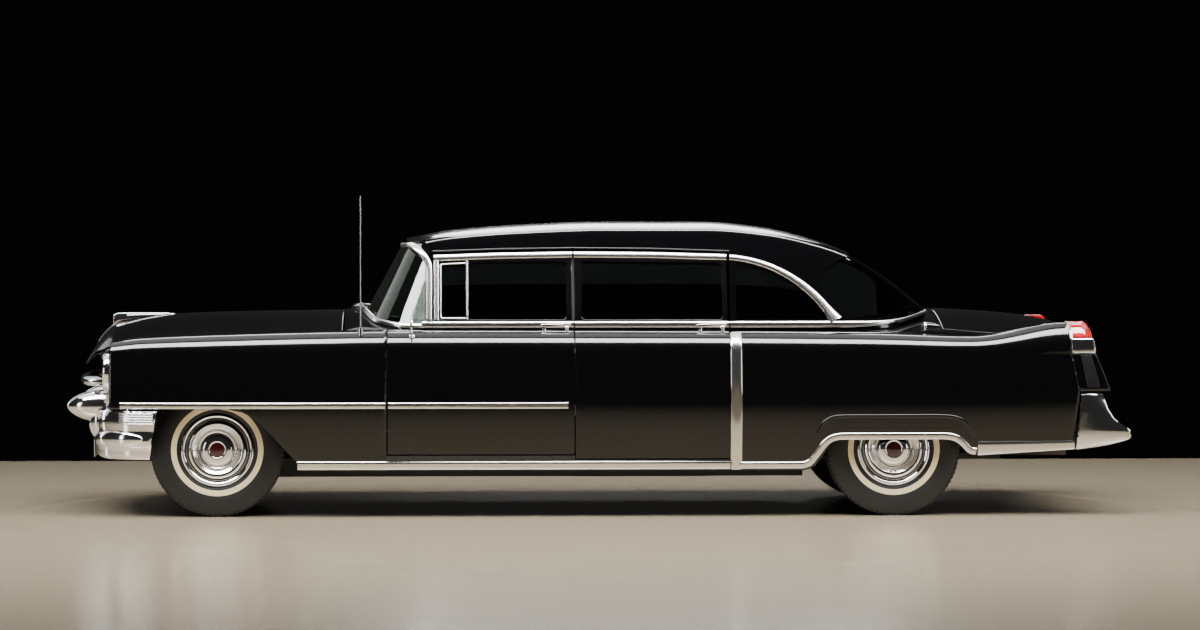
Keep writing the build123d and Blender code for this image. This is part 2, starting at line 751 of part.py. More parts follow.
def bumper_band(inset, depth, low, high):
    with BuildPart() as band:
        with BuildSketch(Plane.XY.offset(low)):
            with BuildLine():
                rows = []
                for shift, end in ((inset, inset), (inset + depth, inset + bumper_end)):
                    rows.append([(at(bumper_wrap), 990 - end), (at(-520 + 0.5 * shift), 950 - 0.8 * shift),
                                 (at(-665 + shift), 800 - 0.3 * shift), (at(-735 + shift), 0)])
                outer, inner = rows
                ThreePointArc(*outer[:3])
                ThreePointArc(outer[2], outer[3], (outer[2][0], -outer[2][1]))
                ThreePointArc(*[(x, -y) for x, y in reversed(outer[:3])])
                Line((outer[0][0], -outer[0][1]), (inner[0][0], -inner[0][1]))
                ThreePointArc(*[(x, -y) for x, y in inner[:3]])
                ThreePointArc((inner[2][0], -inner[2][1]), inner[3], inner[2])
                ThreePointArc(*reversed(inner[:3]))
                Line(inner[0], outer[0])
            make_face()
        extrude(amount=high - low)
    return band.part


bullet_y = 520
bullet_z = 612
bullet_r = 92
with BuildPart() as bumper_front:
    add(bumper_band(0, 70, 400, 600))
    add(bumper_band(24, 40, 324, 400))
    for side in (1, -1):
        with BuildSketch(Plane.XZ.offset(-bullet_y * side)):
            with BuildLine():
                tip = (at(-front_overhang), bullet_z)
                base = (at(-640), bullet_z + bullet_r)
                ThreePointArc(tip, (at(-front_overhang + 70), bullet_z + 0.66 * bullet_r), base)
                Polyline(base, (at(-640), bullet_z), tip)
            make_face()
        revolve(axis=Axis((at(0), bullet_y * side, bullet_z), (1, 0, 0)))
        add(block(-690, horn_tip, (rail_y - 30) * side, (rail_y + 30) * side, horn_low, horn_high))
save(bumper_front.part, "bumper_front")

pod_in = 790
pod_out = 965
with BuildPart() as bumper_rear:
    add(block(4970, 5060, -pod_in, pod_in, 400, 540))
    for side in (1, -1):
        outline = [(4858, 687), (4990, 686), (5050, 600), (5098, 520), (overall_length - front_overhang, 462),
                   (5140, 400), (5060, 373), (4831, 373)]
        add(elevation(outline, 1300 * side) & block(4700, 5300, pod_in * side, pod_out * side, 200, 900))
        add(block(4860, 4990, (rail_y - 30) * side, (rail_y + 30) * side, boot_floor_z - 80, boot_floor_z))
    add(quarter.part, mode=Mode.SUBTRACT)
save(bumper_rear.part, "bumper_rear")

with BuildPart() as upper_bar:
    with BuildSketch(Plane.XY.offset(719)):
        with BuildLine():
            ThreePointArc((at(-606), 640), (at(-820), 0), (at(-606), -640))
            Line((at(-606), -640), (at(-606), -570))
            ThreePointArc((at(-606), -570), (at(-760), 0), (at(-606), 570))
            Line((at(-606), 570), (at(-606), 640))
        make_face()
    extrude(amount=62)
with BuildPart() as grille:
    add(upper_bar.part)
    for z in range(620, 860, 40):
        add(block(-628, -606, -630, 630, z, z + 10))
    for y in range(-600, 601, 60):
        add(block(-624, -604, y - 4, y + 4, 612, 840))
    add(block(-634, -600, -642, 642, 600, 620))
    add(block(-634, -600, -642, 642, 832, 858))
    for side in (1, -1):
        add(block(-634, -602, 624 * side, 642 * side, 600, 858))
        add(block(-634, fender_nose, 624 * side, 700 * side, 600, 640))
save(grille.part, "grille")

lamp_y = 762
lamp_z = 808
lamp_r = 112
with BuildPart() as headlamps:
    for side in (1, -1):
        with BuildSketch(Plane.XZ.offset(-lamp_y * side)):
            with BuildLine():
                front = (at(-648), lamp_z)
                rim = (at(-628), lamp_z + lamp_r)
                ThreePointArc(front, (at(-644), lamp_z + 0.6 * lamp_r), rim)
                Polyline(rim, (at(fender_nose), lamp_z + lamp_r), (at(fender_nose), lamp_z), front)
            make_face()
        revolve(axis=Axis((at(0), lamp_y * side, lamp_z), (1, 0, 0)))
save(headlamps.part, "headlamps")

lamp_outline = [(4786, 1250), (4809, 916), (4944, 916), (4930, 999), (4874, 1250)]
with BuildPart() as tail_lamps:
    add(side_outer)
    add(elevation(lamp_outline), mode=Mode.INTERSECT)
    add(block(4700, 5000, 800, 1200, 900, 1200), mode=Mode.INTERSECT)
    mirror(about=Plane.XZ)
save(tail_lamps.part, "tail_lamps")

plate_half = 152
plate_hole = 3.5
plate_spacing = 178
plates = [(-741, 300, 428, -735), (4926, 556, 684, 4932)]
with BuildPart() as licence_plates:
    for x0, low, high, x1 in plates:
        add(block(x0, x1, -plate_half, plate_half, low, high))
    for x0, low, high, x1 in plates:
        with BuildSketch(Plane.YZ.offset(at(x0) - 5)):
            with Locations((-plate_spacing / 2, high - 20), (plate_spacing / 2, high - 20)):
                Circle(plate_hole)
        extrude(amount=20, mode=Mode.SUBTRACT)
save(licence_plates.part, "licence_plates")

# ---- cabin fittings
cabin_floor = floor_z + floor_plate + seat_gap
seats = [
    ("front_seat", 1440, 1960, 1840, 560, 900, 720),
    ("rear_seat", 2640, 3200, 3040, 580, 1000, 720),
]
for name, front, rear, back, cushion, top, half in seats:
    with BuildPart() as seat:
        add(block(front, rear, -half, half, cabin_floor, cushion))
        add(block(back, rear, -half, half, cushion, top))
        add(block(front - 10, rear + 10, -tunnel_half - 10, tunnel_half + 10, 0, tunnel_top + 10), mode=Mode.SUBTRACT)
    save(seat.part, name)
with BuildPart() as partition:
    add(block(1966, 1996, -700, 700, cabin_floor, 960))
    add(block(1966, 1996, -580, 580, 1400, 1700) & cabin_inner)
    for side in (1, -1):
        add(block(1966, 1996, 540 * side, 580 * side, 950, 1450))
    add(block(1900, 2100, -tunnel_half - 10, tunnel_half + 10, 0, tunnel_top + 10), mode=Mode.SUBTRACT)
save(partition.part, "partition")

column_angle = 28
column_y = -380
wheel_x = 1300
wheel_z = 920
wheel_plane = Plane(origin=(at(wheel_x), column_y, wheel_z), x_dir=(0, 1, 0),
                    z_dir=(cos(radians(column_angle)), 0, sin(radians(column_angle))))
with BuildPart() as dashboard:
    add(screen_form(46) & block(900, 1130, -700, 700, plenum_floor, 1050))
    add(block(firewall + 24, 1130, -740, 740, 800, plenum_floor))
    with BuildSketch(wheel_plane.offset(-40)):
        Circle(24)
    extrude(amount=-300)
save(dashboard.part, "dashboard")
with BuildPart() as steering_wheel:
    with BuildSketch(Plane(origin=wheel_plane.origin, x_dir=wheel_plane.z_dir, z_dir=(0, 1, 0))):
        with Locations((0, 205)):
            Circle(14)
    revolve(axis=Axis(wheel_plane.origin, wheel_plane.z_dir))
    with BuildSketch(wheel_plane.offset(-40 + seat_gap)):
        Circle(34)
    extrude(amount=46)
    with BuildSketch(wheel_plane.offset(-10)):
        Rectangle(410, 26)
    extrude(amount=12)
save(steering_wheel.part, "steering_wheel")

mirror_x = 1092
with BuildPart() as door_mirror:
    with BuildSketch(Plane.YZ.offset(at(mirror_x - 24))):
        with Locations((950, 1072)):
            Circle(58)
    extrude(amount=34)
    add(block(mirror_x - 14, mirror_x + 6, 915, 935, 980, 1060))
    add(side_outer, mode=Mode.SUBTRACT)
save(door_mirror.part, "mirror_right")
save(mirrored(door_mirror.part), "mirror_left")

with BuildPart() as antenna:
    with BuildSketch(Plane.XY.offset(960)):
        with Locations((at(805), -925)):
            Circle(3)
    extrude(amount=1799 - 960)
    with BuildSketch(Plane.XY.offset(960)):
        with Locations((at(805), -925)):
            Circle(14)
    extrude(amount=100)
    add(side_left, mode=Mode.SUBTRACT)
save(antenna.part.solids().sort_by(SortBy.VOLUME)[-1], "antenna")
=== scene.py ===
import bpy
import bmesh
import json
from math import atan2, cos, hypot, pi, radians, sin, sqrt
from mathutils import Matrix, Vector

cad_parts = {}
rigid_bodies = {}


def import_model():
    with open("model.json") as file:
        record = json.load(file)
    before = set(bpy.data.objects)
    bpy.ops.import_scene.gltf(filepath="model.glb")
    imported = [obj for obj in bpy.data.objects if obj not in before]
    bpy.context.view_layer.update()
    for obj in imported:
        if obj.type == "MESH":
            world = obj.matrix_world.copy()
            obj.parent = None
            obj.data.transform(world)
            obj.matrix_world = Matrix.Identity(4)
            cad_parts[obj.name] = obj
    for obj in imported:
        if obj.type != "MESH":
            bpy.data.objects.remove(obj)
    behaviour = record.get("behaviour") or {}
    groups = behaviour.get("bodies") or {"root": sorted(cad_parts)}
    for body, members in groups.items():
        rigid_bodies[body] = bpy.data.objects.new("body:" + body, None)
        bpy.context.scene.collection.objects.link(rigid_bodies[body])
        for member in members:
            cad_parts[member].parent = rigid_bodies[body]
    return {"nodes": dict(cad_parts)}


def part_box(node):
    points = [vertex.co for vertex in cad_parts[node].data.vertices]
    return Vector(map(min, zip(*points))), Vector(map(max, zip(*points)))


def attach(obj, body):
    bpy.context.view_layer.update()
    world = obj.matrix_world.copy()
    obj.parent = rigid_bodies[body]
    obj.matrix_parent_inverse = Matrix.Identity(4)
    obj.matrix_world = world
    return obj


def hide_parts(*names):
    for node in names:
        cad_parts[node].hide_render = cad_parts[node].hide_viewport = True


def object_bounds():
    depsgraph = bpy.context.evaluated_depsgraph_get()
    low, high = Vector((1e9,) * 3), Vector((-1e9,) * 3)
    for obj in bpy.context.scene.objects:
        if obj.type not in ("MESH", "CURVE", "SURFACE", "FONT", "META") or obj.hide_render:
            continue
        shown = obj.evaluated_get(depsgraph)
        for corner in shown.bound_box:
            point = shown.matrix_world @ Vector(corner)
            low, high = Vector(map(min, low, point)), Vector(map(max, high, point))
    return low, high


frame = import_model()
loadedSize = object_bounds()

# Lengths are millimetres until a point becomes metres in place(). Distances "u" run rearward
# from the front axle, y is to the car's right, z is up.
mm = 0.001
widest = loadedSize[1].y - 0.0002
wheelLow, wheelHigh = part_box("wheel_front_left")
frontAxle = (wheelLow.x + wheelHigh.x) / 2 / mm


def place(u, y, z):
    return Vector(((frontAxle + u) * mm, y * mm, z * mm))


# Body lines. Each row starts with its distance behind the front axle.
body = {
    "sides": [  # u, half width, crest y, crest z, inner z
        (-602, 910, 790, 985, 958), (-450, 945, 805, 1008, 978), (0, 985, 830, 1030, 1001),
        (640, 1001, 853, 1047, 1024), (952, 1005, 866, 1050, 1056), (2882, 1009, 868, 1045, 1056),
        (3700, 1003, 862, 1035, 1050), (4250, 990, 855, 1018, 1006), (4740, 967, 862, 1090, 960),
        (5040, 945, 866, 1095, 960)],
    "seam": [(-702, 648), (0, 655), (706, 690), (952, 820), (2882, 820), (3700, 815), (4250, 745),
             (4740, 760), (5100, 770)],
    "hood": [  # u, edge y, edge z, crown z
        (-748, 560, 868, 905), (-692, 605, 925, 1000), (-600, 690, 945, 1074), (-138, 690, 988, 1130),
        (702, 730, 1024, 1147)],
    "deck": [  # u, edge y, edge z, crown z
        (3500, 832, 1046, 1155), (4117, 790, 1016, 1151), (4411, 770, 1000, 1136), (4793, 770, 1000, 1086),
        (4890, 770, 955, 1030), (4945, 770, 870, 930)],
    "cabin": [  # u, half width at the belt, crown z
        (1062, 838, 1560), (1311, 845, 1607), (1700, 845, 1639), (2185, 845, 1657), (2768, 845, 1657),
        (3120, 840, 1626), (3354, 828, 1574), (3588, 790, 1492), (3823, 700, 1341), (4040, 480, 1165)],
    "screen": [  # z, side end, bulge, corner, middle u
        (980, (1192, 878), (940, 800), (815, 590), 742),
        (1720, (1247, 603), (1200, 545), (1162, 399), 1141)],
    "sill": 262, "sillTuck": 45, "waist": 600, "shoulder": 900, "shoulderTuck": 20, "inner": 600,
    "belt": 1098, "underBelt": 60, "flare": 6, "lean": 0.38, "rail": 0.72,
    "crownStart": 0.74, "crownDrop": 0.22, "bulgeOut": 0.93, "bulgeUp": 0.54,  # shares of the rail's place
    "doorFront": 952, "doorMiddle": 2004, "doorRear": 2882, "gap": 3.2,
    "doorWall": 80, "panel": 22, "frame": 34, "archSkin": 6,
}


def smooth(rows, u):
    # monotone cubic through the rows, so a curve never runs past its own rows
    if u <= rows[0][0]:
        return rows[0][1:]
    if u >= rows[-1][0]:
        return rows[-1][1:]
    i = max(k for k in range(len(rows) - 1) if rows[k][0] <= u)
    steps = [rows[k + 1][0] - rows[k][0] for k in range(len(rows) - 1)]

    def slope(k, c):
        if k == 0 or k == len(rows) - 1:
            a = min(k, len(rows) - 2)
            return (rows[a + 1][c] - rows[a][c]) / steps[a]
        before = (rows[k][c] - rows[k - 1][c]) / steps[k - 1]
        after = (rows[k + 1][c] - rows[k][c]) / steps[k]
        if before * after <= 0:
            return 0
        w1, w2 = 2 * steps[k] + steps[k - 1], steps[k] + 2 * steps[k - 1]
        return (w1 + w2) / (w1 / before + w2 / after)

    h = steps[i]
    t = (u - rows[i][0]) / h
    out = []
    for c in range(1, len(rows[i])):
        a, b = rows[i][c], rows[i + 1][c]
        out.append((1 + 2 * t) * (1 - t) ** 2 * a + t * (1 - t) ** 2 * h * slope(i, c)
                   + t * t * (3 - 2 * t) * b + t * t * (t - 1) * h * slope(i + 1, c))
    return out


def arcThrough(a, m, b, n):
    # n + 1 points on the circle through three points
    ax, ay, mx, my, bx, by = *a, *m, *b
    d = 2 * (ax * (my - by) + mx * (by - ay) + bx * (ay - my))
    if abs(d) < 1e-6:
        return [(ax + (bx - ax) * i / n, ay + (by - ay) * i / n) for i in range(n + 1)]
    sa, sm, sb = ax * ax + ay * ay, mx * mx + my * my, bx * bx + by * by
    cx = (sa * (my - by) + sm * (by - ay) + sb * (ay - my)) / d
    cy = (sa * (bx - mx) + sm * (ax - bx) + sb * (mx - ax)) / d
    r = hypot(ax - cx, ay - cy)
    start, middle, end = (atan2(y - cy, x - cx) for x, y in (a, m, b))
    turn = (end - start) % (2 * pi)
    if (middle - start) % (2 * pi) > turn:
        turn -= 2 * pi
    return [(cx + r * cos(start + turn * i / n), cy + r * sin(start + turn * i / n)) for i in range(n + 1)]


def resample(points, n):
    # n + 1 points evenly spaced along a polyline
    lengths = [0]
    for p, q in zip(points, points[1:]):
        lengths.append(lengths[-1] + sqrt(sum((a - b) ** 2 for a, b in zip(p, q))))
    out, k = [], 0
    for i in range(n + 1):
        want = lengths[-1] * i / n
        while k < len(points) - 2 and lengths[k + 1] < want:
            k += 1
        span = lengths[k + 1] - lengths[k] or 1
        t = (want - lengths[k]) / span
        out.append(tuple(a + (b - a) * t for a, b in zip(points[k], points[k + 1])))
    return out


def clip(points, keep, value, axis):
    # the part of a polyline where keep * (point[axis] - value) >= 0
    out = []
    for p, q in zip(points, points[1:]):
        a, b = keep * (p[axis] - value), keep * (q[axis] - value)
        if a >= 0:
            out.append(p)
        if a * b < 0:
            t = a / (a - b)
            out.append(tuple(x + (y - x) * t for x, y in zip(p, q)))
    if keep * (points[-1][axis] - value) >= 0:
        out.append(points[-1])
    return out


def spread(start, end, step):
    n = max(1, round(abs(end - start) / step))
    return [start + (end - start) * i / n for i in range(n + 1)]


def lookup(table, x):
    # straight lines between (x, value) pairs
    if x <= table[0][0]:
        return table[0][1]
    for (a, p), (b, q) in zip(table, table[1:]):
        if x <= b:
            return p + (q - p) * (x - a) / (b - a) if b > a else q
    return table[-1][1]


def rounded(points, radius, n=5):
    # a polyline with its inner corners rounded
    out = [points[0]]
    for a, c, b in zip(points, points[1:], points[2:]):
        va, vb = Vector(a) - Vector(c), Vector(b) - Vector(c)
        r = min(radius, va.length * 0.45, vb.length * 0.45)
        p, q = Vector(c) + va.normalized() * r, Vector(c) + vb.normalized() * r
        for i in range(n + 1):
            t = i / n
            out.append(tuple(p * (1 - t) ** 2 + Vector(c) * 2 * t * (1 - t) + q * t * t))
    out.append(points[-1])
    return out


def sideSection(u, inset=0):
    # from the sill up over the fender crown to the seam side
    half, crestY, crestZ, innerZ = smooth(body["sides"], u)
    low, waist = (half - body["sillTuck"] - inset, body["sill"]), (half - inset, body["waist"])
    shoulder = (half - body["shoulderTuck"] - inset, body["shoulder"])
    crest = (crestY - 0.3 * inset, crestZ - inset)
    inner = (body["inner"], innerZ - inset)
    bulge = (crest[0] + 0.75 * (shoulder[0] - crest[0]), crest[1] - 0.33 * (crest[1] - shoulder[1]))
    return arcThrough(low, waist, shoulder, 30)[:-1] + arcThrough(shoulder, bulge, crest, 20) + [inner]


def sideY(u, z, inset=0):
    points = sideSection(u, inset)
    for (y0, z0), (y1, z1) in zip(points, points[1:]):
        if z0 <= z <= z1:
            return y0 + (y1 - y0) * (z - z0) / max(z1 - z0, 1e-6)
    return points[0][0] if z < points[0][1] else points[-2][0]


def cabinSection(u, inset=0, low=None):
    # right half of the cabin's cross-section, from the belt or below it up to the crown
    beltY, crown = smooth(body["cabin"], u)
    belt = body["belt"]
    railZ = belt + body["rail"] * (crown - belt)
    railY = beltY - body["lean"] * (railZ - belt)
    rail = (railY - inset, railZ - 0.3 * inset)
    shoulder = (body["crownStart"] * railY - 0.6 * inset, crown - body["crownDrop"] * (crown - railZ) - inset)
    bulge = (body["bulgeOut"] * railY - 0.9 * inset, railZ + body["bulgeUp"] * (crown - railZ) - 0.7 * inset)
    top = arcThrough(shoulder, (0, crown - inset), (-shoulder[0], shoulder[1]), 24)[:13]
    foot = belt - body["underBelt"] if low is None else low
    return [(beltY - inset + (belt - foot) / body["flare"], foot), (beltY - inset, belt),
            *arcThrough(rail, bulge, shoulder, 12), *top[1:]]


def cabinY(u, z, inset=0):
    points = cabinSection(u, inset)
    for (y0, z0), (y1, z1) in zip(points, points[1:]):
        if z0 <= z <= z1 + 1e-6:
            return y0 + (y1 - y0) * (z - z0) / max(z1 - z0, 1e-6)
    return points[0][0]


# Materials: sRGB hex to linear, and one way to add a node
def linear(code, alpha=1):
    values = [int(code[i:i + 2], 16) / 255 for i in (1, 3, 5)]
    return [v / 12.92 if v <= 0.04045 else ((v + 0.055) / 1.055) ** 2.4 for v in values] + [alpha]


def addNode(tree, kind, settings=None, values=None, links=None):
    node = tree.nodes.new(kind)
    for name, value in (settings or {}).items():
        setattr(node, name, value)
    for name, value in (values or {}).items():
        node.inputs[name].default_value = value
    for name, source in (links or {}).items():
        tree.links.new(source, node.inputs[name])
    return node


def newMaterial(name, **values):
    material = bpy.data.materials.new(name)
    material.use_nodes = True
    tree = material.node_tree
    shader = tree.nodes["Principled BSDF"]
    for key, value in values.items():
        shader.inputs[key.replace("_", " ")].default_value = value
    return material, tree, shader


def addBump(tree, shader, scale, strength, depth, detail=2.0):
    # fine relief in Object coordinates; scale is repeats per metre, depth in metres
    where = addNode(tree, "ShaderNodeTexCoord")
    noise = addNode(tree, "ShaderNodeTexNoise", values={"Scale": scale, "Detail": detail},
                    links={"Vector": where.outputs["Object"]})
    bump = addNode(tree, "ShaderNodeBump", values={"Strength": strength, "Distance": depth},
                   links={"Height": noise.outputs["Fac"]})
    tree.links.new(bump.outputs["Normal"], shader.inputs["Normal"])
    return noise


materials = {}


def coachEnamel():
    # sprayed and polished black enamel: deep, wet gloss with a trace of orange peel about 6 mm across
    material, tree, shader = newMaterial("coach enamel, sprayed and polished", Base_Color=linear("#050506"),
                                         Roughness=0.14, IOR=1.5, Specular_IOR_Level=0.2, Coat_Weight=0.65,
                                         Coat_Roughness=0.02, Coat_IOR=1.5)
    addBump(tree, shader, 160, 0.008, 0.0002)
    return material


def chromePlate():
    # nickel-chrome plated steel, buffed: near-mirror with a faint polish haze
    material, tree, shader = newMaterial("chrome plate, buffed", Base_Color=linear("#E6E7E9"), Metallic=1.0,
                                         Roughness=0.07)
    where = addNode(tree, "ShaderNodeTexCoord")
    haze = addNode(tree, "ShaderNodeTexNoise", values={"Scale": 9.0, "Detail": 3.0},
                   links={"Vector": where.outputs["Object"]})
    level = addNode(tree, "ShaderNodeMapRange", values={"To Min": 0.07, "To Max": 0.13},
                    links={"Value": haze.outputs["Fac"]})
    tree.links.new(level.outputs["Result"], shader.inputs["Roughness"])
    return material


def stainlessMoulding():
    # rolled stainless strip, polished along its length: a little softer than chrome
    return newMaterial("stainless strip, rolled and polished", Base_Color=linear("#D2D1CD"), Metallic=1.0,
                       Roughness=0.2)[0]


def plainMaterial(name, code, rough, metal=0.0, bump=None, **more):
    material, tree, shader = newMaterial(name, Base_Color=linear(code), Roughness=rough, Metallic=metal,
                                         **more)
    if bump:
        addBump(tree, shader, *bump)
    return material


def glassMaterial(name, code, rough=0.0):
    # float glass with a body tint
    return newMaterial(name, Base_Color=linear(code), Roughness=rough, IOR=1.52, Transmission_Weight=1.0)[0]


def wovenCloth(name, code, thread, turn=6.28):
    # plain weave: crossed waves about two threads wide, so that they can be seen, with wool sheen
    material, tree, shader = newMaterial(name, Base_Color=linear(code), Roughness=0.9, Sheen_Weight=0.5,
                                         Sheen_Roughness=0.4)
    where = addNode(tree, "ShaderNodeTexCoord")
    waves = [addNode(tree, "ShaderNodeTexWave", {"bands_direction": way},
                     {"Scale": 1 / thread / turn, "Distortion": 0.6}, {"Vector": where.outputs["Object"]})
             for way in ("X", "Y")]
    both = addNode(tree, "ShaderNodeMath", {"operation": "MULTIPLY"})
    tree.links.new(waves[0].outputs["Fac"], both.inputs[0])
    tree.links.new(waves[1].outputs["Fac"], both.inputs[1])
    bump = addNode(tree, "ShaderNodeBump", values={"Strength": 0.25, "Distance": thread / 3},
                   links={"Height": both.outputs["Value"]})
    tree.links.new(bump.outputs["Normal"], shader.inputs["Normal"])
    return material


materials["enamel"] = coachEnamel()
materials["chrome"] = chromePlate()
materials["strip"] = stainlessMoulding()
materials["chassis"] = plainMaterial("chassis black, brushed on", "#141414", 0.5, bump=(300, 0.2, 0.0005))
materials["casting"] = plainMaterial("cast iron, painted", "#26282A", 0.55, bump=(500, 0.4, 0.0006))
materials["pipe"] = plainMaterial("steel tube, heat dulled", "#5A554E", 0.45, 1.0, bump=(120, 0.2, 0.0004))
materials["rubber"] = plainMaterial("tyre rubber, moulded", "#0C0C0D", 0.55, bump=(900, 0.15, 0.0003))
materials["whiteband"] = plainMaterial("whitewall rubber, moulded", "#E2D0A6", 0.5, bump=(600, 0.1, 0.0002))
materials["darkBand"] = plainMaterial("wheel cover paint, satin", "#2B2C2E", 0.35, 0.6)
materials["maroon"] = plainMaterial("vitreous enamel, maroon", "#3A0A10", 0.12, Coat_Weight=1.0)
# the side, quarter and back glass is tinted near black: painted shade standing in for the dark cabin seen
# through it
materials["sideGlass"] = glassMaterial("side glass, tinted near black as painted cabin shade", "#1C201F")
materials["screenGlass"] = glassMaterial("windshield glass, pale green", "#BFD0C4")
materials["lampGlass"] = glassMaterial("lamp glass, pressed", "#E6EAEA", 0.02)
materials["redLens"] = newMaterial("acrylic lens, moulded red", Base_Color=linear("#C8121C"), Roughness=0.08,
                                   IOR=1.49, Transmission_Weight=0.35, Coat_Weight=1.0)[0]
materials["cloth"] = wovenCloth("broadcloth, woven wool", "#6C675F", 0.0016)
materials["leather"] = plainMaterial("leather, grained", "#17171A", 0.45, bump=(700, 0.35, 0.0006))
materials["dash"] = plainMaterial("dashboard enamel, satin", "#16181B", 0.3)
materials["wheelRim"] = plainMaterial("moulded rim, hard teal", "#1F6B6B", 0.25, Coat_Weight=0.5)
materials["headliner"] = wovenCloth("headlining, napped", "#A39C8C", 0.002)
materials["plate"] = plainMaterial("plate, blank pressed aluminium", "#B9B7AE", 0.4, 0.2)
# matt black put inside openings, behind the grille, in the exhaust outlets and in the scoops' mouths: painted
# shade where the real opening is only dark
materials["void"] = plainMaterial("opening, matt black as painted shade", "#040404", 0.9)
materials["piping"] = plainMaterial("piping, vinyl", "#3C3A36", 0.5)


# Mesh building
def newObject(name, data):
    obj = bpy.data.objects.new(name, data)
    bpy.context.scene.collection.objects.link(obj)
    return obj


def smoothFaces(mesh, angle):
    for polygon in mesh.polygons:
        polygon.use_smooth = True
    mesh.set_sharp_from_angle(angle=radians(angle))


def ringFaces(rings, size, closed=True, endless=False):
    # quads between neighbouring rings of points; endless joins the last ring to the first
    faces = []
    for i in range(rings if endless else rings - 1):
        j = (i + 1) % rings
        for k in range(size if closed else size - 1):
            m = (k + 1) % size
            faces.append((i * size + k, i * size + m, j * size + m, j * size + k))
    return faces


def prismFaces(n):
    return [tuple(range(n)), tuple(range(2 * n - 1, n - 1, -1)), *ringFaces(2, n)]


boxFaces = [(0, 1, 3, 2), (4, 6, 7, 5), (0, 4, 5, 1), (2, 3, 7, 6), (0, 2, 6, 4), (1, 5, 7, 3)]


def meshPiece(name, verts, faces, material, faceMaterials=None, sharp=32, recalc=False):
    mesh = bpy.data.meshes.new(name)
    mesh.from_pydata([tuple(v) for v in verts], [], faces)
    listed = [material] if isinstance(material, str) else material
    for key in listed:
        mesh.materials.append(materials[key])
    if faceMaterials:
        for polygon, index in zip(mesh.polygons, faceMaterials):
            polygon.material_index = index
    bm = bmesh.new()
    bm.from_mesh(mesh)
    bmesh.ops.remove_doubles(bm, verts=bm.verts, dist=0.00002)
    bmesh.ops.dissolve_degenerate(bm, edges=bm.edges, dist=0.00001)
    if recalc:
        bmesh.ops.recalc_face_normals(bm, faces=bm.faces)
    bm.to_mesh(mesh)
    bm.free()
    smoothFaces(mesh, sharp)
    return newObject(name, mesh)


def closedShell(name, outer, inner, material, sharp=32):
    # two matching grids of points, joined round their edges
    rows, cols = len(outer), len(outer[0])
    verts = [p for row in outer for p in row] + [p for row in inner for p in row]
    size = rows * cols
    faces = []
    for i in range(rows - 1):
        for j in range(cols - 1):
            a = i * cols + j
            faces.append((a, a + 1, a + cols + 1, a + cols))
            faces.append((a + size, a + cols + size, a + cols + 1 + size, a + 1 + size))
    rim = list(range(cols)) + [i * cols + cols - 1 for i in range(1, rows)]
    rim += [(rows - 1) * cols + j for j in range(cols - 2, -1, -1)]
    rim += [i * cols for i in range(rows - 2, 0, -1)]
    for a, b in zip(rim, rim[1:] + rim[:1]):
        faces.append((b, a, a + size, b + size))
    return meshPiece(name, verts, faces, material, sharp=sharp, recalc=True)


def bevelEdges(obj, width, segments=2, angle=40):
    bevel = obj.modifiers.new("edge", "BEVEL")
    bevel.width = width * mm
    bevel.segments = segments
    bevel.limit_method = "ANGLE"
    bevel.angle_limit = radians(angle)
    bevel.harden_normals = True
    return obj


def boxPiece(name, u0, u1, y0, y1, z0, z1, material, bevel=3):
    corners = [place(u, y, z) for u in (u0, u1) for y in (y0, y1) for z in (z0, z1)]
    obj = meshPiece(name, corners, boxFaces, material, recalc=True)
    return bevelEdges(obj, bevel, 3) if bevel else obj


def prism(name, outline, y0, y1, material="enamel", bevel=0):
    # an outline in side view (u, z), from y0 to y1
    verts = [place(u, y, z) for y in (y0, y1) for u, z in outline]
    obj = meshPiece(name, verts, prismFaces(len(outline)), material, recalc=True)
    return bevelEdges(obj, bevel, 3) if bevel else obj


def flatten(obj):
    # modifiers into the mesh
    graph = bpy.context.evaluated_depsgraph_get()
    mesh = bpy.data.meshes.new_from_object(obj.evaluated_get(graph))
    obj.modifiers.clear()
    obj.data = mesh
    return obj


def cutWith(obj, cutter, operation="DIFFERENCE"):
    boolean = obj.modifiers.new("cut", "BOOLEAN")
    boolean.operation = operation
    boolean.solver = "EXACT"
    boolean.object = cutter
    flatten(obj)
    bpy.data.objects.remove(cutter)
    smoothFaces(obj.data, 32)
    return obj


def banded(key, *rows):
    # profile rows of one finish
    return [(r, out, key) for r, out in rows]


def revolved(name, profile, centre, side=1, segments=96, axis="y"):
    # profile rows: radius, offset outward along the axis, material of the band up to the next row
    keys = list(dict.fromkeys(row[2] for row in profile))
    verts, n = [], len(profile)
    for s in range(segments):
        angle = 2 * pi * s / segments
        for r, out, key in profile:
            if axis == "y":
                spot = (centre[0] + r * cos(angle), centre[1] + out * side, centre[2] + r * sin(angle))
            else:
                spot = (centre[0] + out, centre[1] + r * cos(angle), centre[2] + r * sin(angle))
            verts.append(place(*spot))
    closed = profile[0][0] > 0 and profile[-1][0] > 0
    bands = [keys.index(row[2]) for row in (profile if closed else profile[:-1])] * segments
    return meshPiece(name, verts, ringFaces(segments, n, closed, True), keys, bands, recalc=True)


def strip(name, centres, normals, width, height, material="strip", profile=None):
    # a crowned moulding along a path on the body: width across it, height outward
    profile = profile or [(-0.5, -0.5), (-0.5, 0.25), (-0.4, 0.75), (-0.2, 0.95), (0, 1), (0.2, 0.95),
                          (0.4, 0.75), (0.5, 0.25), (0.5, -0.5)]
    verts = []
    n, last = len(profile), (len(centres) - 1) * len(profile)
    widths = width if isinstance(width, list) else [width] * len(centres)
    for i, (centre, normal) in enumerate(zip(centres, normals)):
        before, after = centres[max(i - 1, 0)], centres[min(i + 1, len(centres) - 1)]
        cross = normal.cross((after - before).normalized()).normalized()
        for across, out in profile:
            verts.append(centre + cross * across * widths[i] * mm + normal * out * height * mm)
    faces = [*ringFaces(len(centres), n), tuple(range(n)), tuple(range(last + n - 1, last - 1, -1))]
    return meshPiece(name, verts, faces, material, sharp=50, recalc=True)


